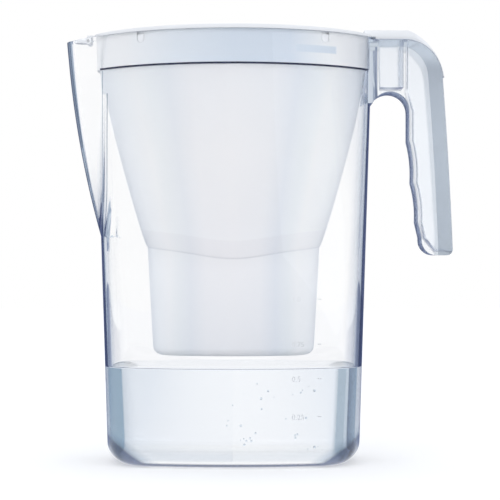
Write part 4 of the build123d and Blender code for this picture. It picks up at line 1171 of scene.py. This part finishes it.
def water_shade(x, z, facing, on_handle_side):
    """Painted shade where water stands behind the wall: bands, dark corners and a line along the base."""
    _, _, lean = split(node_in(facing.id_data, "ShaderNodeNewGeometry").outputs["Normal"])
    upright = math_in("SUBTRACT", 1.0, times(math_in("ABSOLUTE", lean), LEAN_FADE))
    out = math_in("ABSOLUTE", x)
    kept = math_in("MAXIMUM", upright, share_of(out, *ENDS))
    bands = by_side(on_handle_side, times(facing, kept), WALL_SHADES_BELOW)
    leaned = math_in("SUBTRACT", out, times(z, CORNER_LEAN))
    corners = ramp_in(share_of(leaned, *CORNERS), CORNER_SHADE_STOPS)
    line = times(share_of(z, *BASE_LINE), share_of(facing, *BASE_LINE_FACING))
    return mixed(line, product(bands, corners), BASE_LINE_SHADE)


# Paints all these shades into the clear wall's base colour where the eye meets the wall first.
def shade_wall(material):
    tree, colour, base = parts_of(material)
    facing = facing_in(tree)
    x, _, z = place_in(tree)
    on_handle_side = math_in("GREATER_THAN", x, 0)
    above = by_side(on_handle_side, facing, WALL_SHADES_ABOVE)
    above = crease_shade(x, z, nose_shade(x, z, facing, above))
    below = water_shade(x, z, facing, on_handle_side)
    shade = mixed(math_in("LESS_THAN", z, WATER_LEVEL), above, below)
    half_height, end = LEDGE_LINE
    ledge = times(math_in("COMPARE", z, LEDGE_HEIGHT, half_height), math_in("GREATER_THAN", x, end))
    shade = mixed(ledge, shade, LEDGE_SHADE)
    depth = node_in(tree, "ShaderNodeLightPath").outputs["Transmission Depth"]
    feed(colour, mixed(math_in("LESS_THAN", depth, 0.5), base, shade))


clear_plastic = finish("clear_moulded_plastic", (0.998, 0.999, 1.0), 35, (0.0, 0.03), 0.01, 0.4,
                       Transmission_Weight=1.0, IOR=1.53)
shade_wall(clear_plastic)
end_inside(clear_plastic, (0.66, 0.74, 0.83), (0.28, 0.35, 0.47))
print("nodes in the clear plastic", len(clear_plastic.node_tree.nodes))

# %% [markdown]
# ## The milky funnel
# Milky plastic carries painted light and shade in its colour: a soft painted glow, painted darker
# bands at its sides and low on the cup, a painted shade band above the cup and a bluer painted shade on
# the collar behind the clear band of the jug. The pale blue of the indicator's case is a patch painted
# on the front of the collar, where the case would show through.

# %% Shades of the milky plastic
MILKY_WIDTHS = (CUP_TOP, LEDGE_HEIGHT, 51.3, 79.5)  # from a low to a high place, half lengths there
# Painted light and shade across the width: darker bands at the sides, lighter bands between them.
MILKY_SIDE_SHADES = ((0.0, (0.87, 0.905, 0.95)), (0.07, (0.94, 0.96, 0.98)), (0.135, (0.98, 0.985, 0.99)),
               (0.19, (0.93, 0.95, 0.965)), (0.26, (0.89, 0.91, 0.945)), (0.35, (0.97, 0.965, 0.98)),
               (0.5, (0.985, 0.975, 0.985)), (0.65, (0.955, 0.955, 0.975)), (0.74, (0.86, 0.89, 0.94)),
               (0.81, (0.91, 0.94, 0.96)), (0.865, (0.99, 0.995, 1.0)), (0.93, (0.98, 0.99, 1.0)),
               (1.0, (0.94, 0.965, 0.99)))
# Painted shade over the height: darker low on the cup.
MILKY_HEIGHT_SHADES = ((0.0, (0.86, 0.88, 0.91)), (0.3, (0.96, 0.965, 0.98)), (0.7, WHITE),
                 (1.0, (0.97, 0.985, 1.0)))
MILKY_BAND_SPAN = (-6, 14)  # heights from the line between cup and hopper
# A painted shade band just above the line between cup and hopper.
MILKY_BAND = ((0.0, WHITE), (0.27, (0.985, 0.985, 0.985)), (0.29, (0.86, 0.87, 0.89)),
              (0.33, (0.955, 0.95, 0.955)), (0.80, (0.965, 0.96, 0.965)), (0.83, WHITE))
# Painted bluer shade on the collar, paler at its ends.
MILKY_COLLAR_HALF = 82
MILKY_COLLAR = ((0.0, (0.955, 0.965, 0.98)), (0.12, (0.93, 0.945, 0.965)), (0.3, (0.80, 0.86, 0.93)),
                (0.5, (0.71, 0.79, 0.89)), (0.70, (0.70, 0.78, 0.885)), (0.82, (0.90, 0.93, 0.96)),
                (0.90, WHITE))
# A patch of the case's pale blue, painted on the front of the collar only, where the case would show through.
CASE_X, CASE_Z = (47.9, 12.2, 11.2), (243.0, 2.4, 1.8)  # middle, and half size with and without its soft edge
CASE_SHADE = (0.70, 0.785, 0.885)


def near_middle(value, middle, outer, inner):
    """1 near a middle, falling to 0 between two distances from it."""
    away = math_in("ABSOLUTE", math_in("SUBTRACT", value, middle))
    return share_of(away, outer, inner)


# Paints this light and shade, and the case's patch, into the milky plastic's base colour.
def shade_milky(material):
    tree, colour, _ = parts_of(material)
    x, y, z = place_in(tree)
    half = share_of(z, *MILKY_WIDTHS)
    side = ramp_in(share_of(math_in("DIVIDE", x, half), -1, 1), MILKY_SIDE_SHADES)
    x2, y2 = times(x, x), times(y, y)
    turn = math_in("DIVIDE", math_in("SUBTRACT", x2, y2), math_in("ADD", x2, y2))
    line = math_in("ADD", times(turn, SMILE_LIFT), CUP_TOP - SMILE_DROP)
    above = share_of(math_in("SUBTRACT", z, line), *MILKY_BAND_SPAN)
    height = share_of(z, CUP_BOTTOM, LEDGE_HEIGHT)
    below_collar = product(product(side, ramp_in(above, MILKY_BAND)), ramp_in(height, MILKY_HEIGHT_SHADES))
    collar = ramp_in(share_of(x, -MILKY_COLLAR_HALF, MILKY_COLLAR_HALF), MILKY_COLLAR)
    case = times(near_middle(x, *CASE_X), near_middle(z, *CASE_Z), math_in("LESS_THAN", y, 0))
    collar = mixed(case, collar, CASE_SHADE)
    at_collar = math_in("GREATER_THAN", z, LEDGE_HEIGHT)
    feed(colour, mixed(at_collar, below_collar, collar))


milky_plastic = finish("milky_plastic", (0.93, 0.935, 0.955), 90, (0.32, 0.42), 0.01,
                       Transmission_Weight=0.06, IOR=1.45)
shade_milky(milky_plastic)
dress(funnel, milky_plastic)
print("nodes in the milky plastic", len(milky_plastic.node_tree.nodes))

# %% [markdown]
# ## Handle, water, marks and bubbles
# The handle is clear too, but more frosted, and its band is deeper in colour, lighter near the top. Its
# edges get painted shade by how edge-on they are seen, and its web a painted dark shade line where it grows
# out of the wall. Clear plastic and water throw no shadow on the floor, because here their shadow would
# be far too dark.

# %% Handle, water, marks and bubbles
# Painted shade on the web where it grows out of the wall: greyish blue, a dark line, then clear.
SEAM = (82, 88)  # along X, where the handle's web grows out of the wall
SEAM_SHADE_STOPS = ((0.0, (0.66, 0.71, 0.78)), (0.36, (0.60, 0.66, 0.74)), (0.42, (0.12, 0.16, 0.26)),
              (0.58, (0.14, 0.18, 0.28)), (0.68, WHITE))
BEAD_STOPS = ((0.0, (0.62, 0.64, 0.66)), (0.5, (0.66, 0.68, 0.70)), (0.86, (0.58, 0.60, 0.63)),
              (0.92, (0.86, 0.88, 0.90)), (1.0, (0.92, 0.94, 0.96)))
# Painted edge shade, deeper as the handle is seen more edge-on.
EDGE_SHADE_STOPS = ((0.5, (0.84, 0.87, 0.92)), (0.75, (0.58, 0.64, 0.73)), (1.0, (0.34, 0.40, 0.52)))
web_plastic = finish("handle_moulded_plastic", (0.955, 0.97, 0.99), 60, (0.10, 0.20), 0.004, 0.4,
                     Transmission_Weight=0.95, IOR=1.53)
bead_plastic = finish("handle_band_plastic", (0.72, 0.78, 0.85), 60, (0.16, 0.26), 0.004, 0.4,
                      Transmission_Weight=0.85, IOR=1.53)
for material in (web_plastic, bead_plastic):
    paint_edge_shade(material, EDGE_SHADE_STOPS)
    end_inside(material, (0.72, 0.78, 0.85), (0.28, 0.34, 0.46))
shade_along(web_plastic, "X", *SEAM, SEAM_SHADE_STOPS)
shade_along(bead_plastic, "Z", HANDLE_FRONT_LOW[1], HANDLE_TOP, BEAD_STOPS)
BY_SLOT = {"wall": clear_plastic, "web": web_plastic, "bead": bead_plastic}
for slot in jug.material_slots:
    slot.material = BY_SLOT[slot.material.name]

water_body = finish("water", (0.975, 0.985, 0.995), 20, (0.0, 0.01), 0.0, Transmission_Weight=1.0, IOR=1.33)
end_inside(water_body, (0.50, 0.62, 0.72), (0.14, 0.22, 0.34))
dress(water, water_body)
dress(marks, finish("frosted_relief", (0.93, 0.95, 0.98), 400, (0.45, 0.6), 0.004, Transmission_Weight=0.6,
                    IOR=1.53))
dress(bubbles, finish("bubble_film", (0.86, 0.92, 0.97), 200, (0.0, 0.02), 0.0, Transmission_Weight=1.0,
                      IOR=1.4))
jug.visible_shadow = False
water.visible_shadow = False
print("slots of the jug", [slot.material.name for slot in jug.material_slots])

# %% [markdown]
# ## Lid, cartridge and indicator
# Each row is a finish: its colour, the scale of its grain, its range of roughness, the height of its
# bumps in millimetres, other constants, and the nodes that wear it.

# %% Finishes of the other pieces
FINISHES = (
    ("lid_white_plastic", (0.90, 0.92, 0.95), 120, (0.22, 0.30), 0.006, {"IOR": 1.49, "Coat_Weight": 0.15},
     ("lid_cover", "fill_flap", "spout_flap")),
    ("cartridge_white_plastic", (0.72, 0.75, 0.78), 400, (0.45, 0.6), 0.012, {},
     ("cartridge_shell", "cartridge_cap")),
    ("pale_seal_rubber", (0.6, 0.62, 0.64), 500, (0.7, 0.85), 0.01, {},
     ("cartridge_seal", "indicator_gasket")),
    ("white_fleece", (0.78, 0.79, 0.8), 900, (0.85, 1.0), 0.15, {"Sheen_Weight": 0.3},
     ("outlet_screen", "inlet_fleece")),
    ("dark_granules", (0.03, 0.028, 0.026), 1400, (0.6, 0.95), 0.4, {}, ("filter_media",)),
    ("drawn_steel", (0.56, 0.57, 0.59), 700, (0.2, 0.32), 0.004, {"stretch": 0.05, "Metallic": 1.0},
     ("fill_flap_pin", "spout_flap_pin", "coin_cell")),
    ("plated_brass", (0.62, 0.5, 0.22), 500, (0.22, 0.34), 0.004, {"Metallic": 1.0},
     ("battery_contact", "button_dome")),
    ("pale_blue_plastic", (0.38, 0.60, 0.82), 300, (0.35, 0.5), 0.01, {}, ("indicator_case",)),
    ("board_laminate", (0.02, 0.12, 0.05), 250, (0.3, 0.45), 0.01, {}, ("circuit_board",)),
    ("display_glass", (0.32, 0.38, 0.35), 60, (0.05, 0.1), 0.0, {"Coat_Weight": 0.6}, ("display_panel",)),
    ("clear_pane", (0.93, 0.96, 0.98), 60, (0.02, 0.06), 0.0, {"Transmission_Weight": 1.0, "IOR": 1.49},
     ("indicator_window",)),
    ("button_grey_plastic", (0.58, 0.66, 0.74), 350, (0.4, 0.52), 0.012, {}, ("reset_button",)),
)
for name, colour, scale, rough, bump, constants, nodes in FINISHES:
    material = finish(name, colour, scale, rough, bump, **constants)
    for node in nodes:
        dress(copies.get(node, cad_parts[node]), material)
print("finishes of the other pieces", len(FINISHES))

# %% [markdown]
# ## Light
# The object stands in a white room with soft light from above and in front. Clear plastic shows
# its shape only by what it bends and mirrors. So light that has gone straight through sees the white
# background, and light that has been mirrored inside the wall sees a darker, bluish studio.

# %% World
SKY = (0.97, 0.98, 1.0)
PALE = (0.93, 0.95, 0.98)
# What light mirrored inside a wall sees, from straight down (0) to straight up (1).
INSIDE_STOPS = ((0.0, (0.40, 0.46, 0.56)), (0.42, (0.20, 0.25, 0.36)), (0.5, (0.07, 0.09, 0.17)),
                (0.62, (0.12, 0.15, 0.25)), (0.78, (0.55, 0.61, 0.72)), (1.0, (0.9, 0.93, 0.98)))
# What a surface mirrors, from the front and sides (0) to straight behind the object (1).
MIRROR_STOPS = ((0.0, PALE), (0.3, (0.84, 0.88, 0.94)), (0.6, (0.34, 0.39, 0.52)), (0.85, (0.10, 0.13, 0.26)))


def light_path_masks(tree):
    """Sockets that are 1 for each kind of light path."""
    path = node_in(tree, "ShaderNodeLightPath").outputs
    mirrored, scattered, entered, often = (
        math_in("GREATER_THAN", path[name], count - 0.5)
        for name, count in (("Glossy Depth", 1), ("Diffuse Depth", 1), ("Transmission Depth", 1),
                            ("Glossy Depth", 2)))
    straight = math_in("SUBTRACT", 1.0, math_in("MAXIMUM", mirrored, scattered))
    through = times(path["Is Transmission Ray"], straight)
    return {"mirrored": mirrored, "scattered": scattered, "entered": entered,
            "seen": math_in("MAXIMUM", path["Is Camera Ray"], through),
            "inside": times(often, entered), "behind": times(scattered, entered)}


def make_world():
    world = bpy.data.worlds.new("studio")
    world.use_nodes = True
    scene.world = world
    tree = world.node_tree
    tree.nodes.clear()

    def light(colour, strength=1.0):
        return node_in(tree, "ShaderNodeBackground", Color=colour, Strength=strength).outputs[0]

    mask = light_path_masks(tree)
    _, y, z = split(node_in(tree, "ShaderNodeTexCoord").outputs["Generated"])
    surface = layered(light(ramp_in(y, MIRROR_STOPS)), [
        (mask["entered"], light(PALE)),
        (mask["inside"], light(ramp_in(share_of(z, -1, 1), INSIDE_STOPS))),
        (mask["scattered"], light(SKY, 0.95)),
        (mask["behind"], light(SKY, 1.68)),
        (mask["seen"], light(WHITE))])
    node_in(tree, "ShaderNodeOutputWorld", Surface=surface)
    return tree


print("world nodes", len(make_world().nodes))

# %% [markdown]
# ## Floor
# The floor shows the same room as the world: a dark studio to light that was mirrored, and white to
# the eye. Its own glow grows with distance, so the place under the jug keeps a soft shadow.

# %% Floor
FLOOR_HALF, FLOOR_DROP = 3000.0, 0.05
FLOOR_GLOW = (0.12, 1.2, 0.42, 0.50)  # from a near to a far distance, from a weak to a strong glow
FLOOR_LAYERS = (("inside", (0.78, 0.83, 0.89), 1.0), ("behind", SKY, 0.7),
                ("through", (0.98, 0.985, 1.0), 1.0))


def make_floor():
    corners = [(x * FLOOR_HALF, y * FLOOR_HALF, -FLOOR_DROP) for x, y in ((-1, -1), (1, -1), (1, 1), (-1, 1))]
    floor = new_piece("floor", corners, [(0, 1, 2, 3)])
    material = bpy.data.materials.new("white_floor")
    material.use_nodes = True
    tree = material.node_tree
    shader = tree.nodes["Principled BSDF"]
    for name, value in (("Base Color", (0.62, 0.63, 0.65)), ("Roughness", 0.9), ("Specular IOR Level", 0.0),
                        ("Emission Color", WHITE)):
        feed(shader.inputs[name], value)
    mask = light_path_masks(tree)
    mask["through"] = times(mask["entered"], mask["seen"])
    place = node_in(tree, "ShaderNodeTexCoord").outputs["Object"]
    distance = node_in(tree, "ShaderNodeVectorMath", operation="LENGTH", Vector=place).outputs["Value"]
    glow = share_of(distance, *FLOOR_GLOW, interpolation_type="SMOOTHSTEP")
    feed(shader.inputs["Emission Strength"], times(mask["seen"], glow))
    ahead = node_in(tree, "ShaderNodeVectorMath", operation="NORMALIZE", Vector=place).outputs["Vector"]
    shades = [("mirrored", ramp_in(split(ahead)[1], MIRROR_STOPS), 1.0), *FLOOR_LAYERS]
    surface = layered(shader.outputs[0], [
        (mask[name], node_in(tree, "ShaderNodeEmission", Color=shade, Strength=strength).outputs[0])
        for name, shade, strength in shades])
    feed(tree.nodes["Material Output"].inputs["Surface"], surface)
    dress(floor, material)
    return floor


floor = make_floor()
print("floor nodes", len(floor.data.materials[0].node_tree.nodes))

# %% [markdown]
# ## Lamps
# Three soft lamps light what isn't clear: a key from the front left, a weaker fill from the right and
# one from above.

# %% Lamps
LAMPS = (  # name, place, aim, size, power and colour
    ("key", (-500, -900, 900), (0, 0, 120), (900, 900), 1.5, WHITE),
    ("fill", (800, -700, 500), (0, 0, 120), (900, 900), 0.8, (0.93, 0.96, 1.0)),
    ("top", (0, 100, 1100), (0, 0, 100), (1200, 900), 1.0, WHITE),
)
for name, place, aim, size, power, colour in LAMPS:
    data = bpy.data.lights.new(name, "AREA")
    data.shape = "RECTANGLE"
    data.size, data.size_y = size[0] * MM, size[1] * MM
    data.energy, data.color = power, colour
    lamp = bpy.data.objects.new(name, data)
    lamp.location = [v * MM for v in place]
    lamp.rotation_euler = (Vector(aim) - Vector(place)).to_track_quat("-Z", "Y").to_euler()
    scene.collection.objects.link(lamp)
scene.view_settings.view_transform = "Standard"
print("lamps", len(LAMPS), "view", scene.view_settings.view_transform)
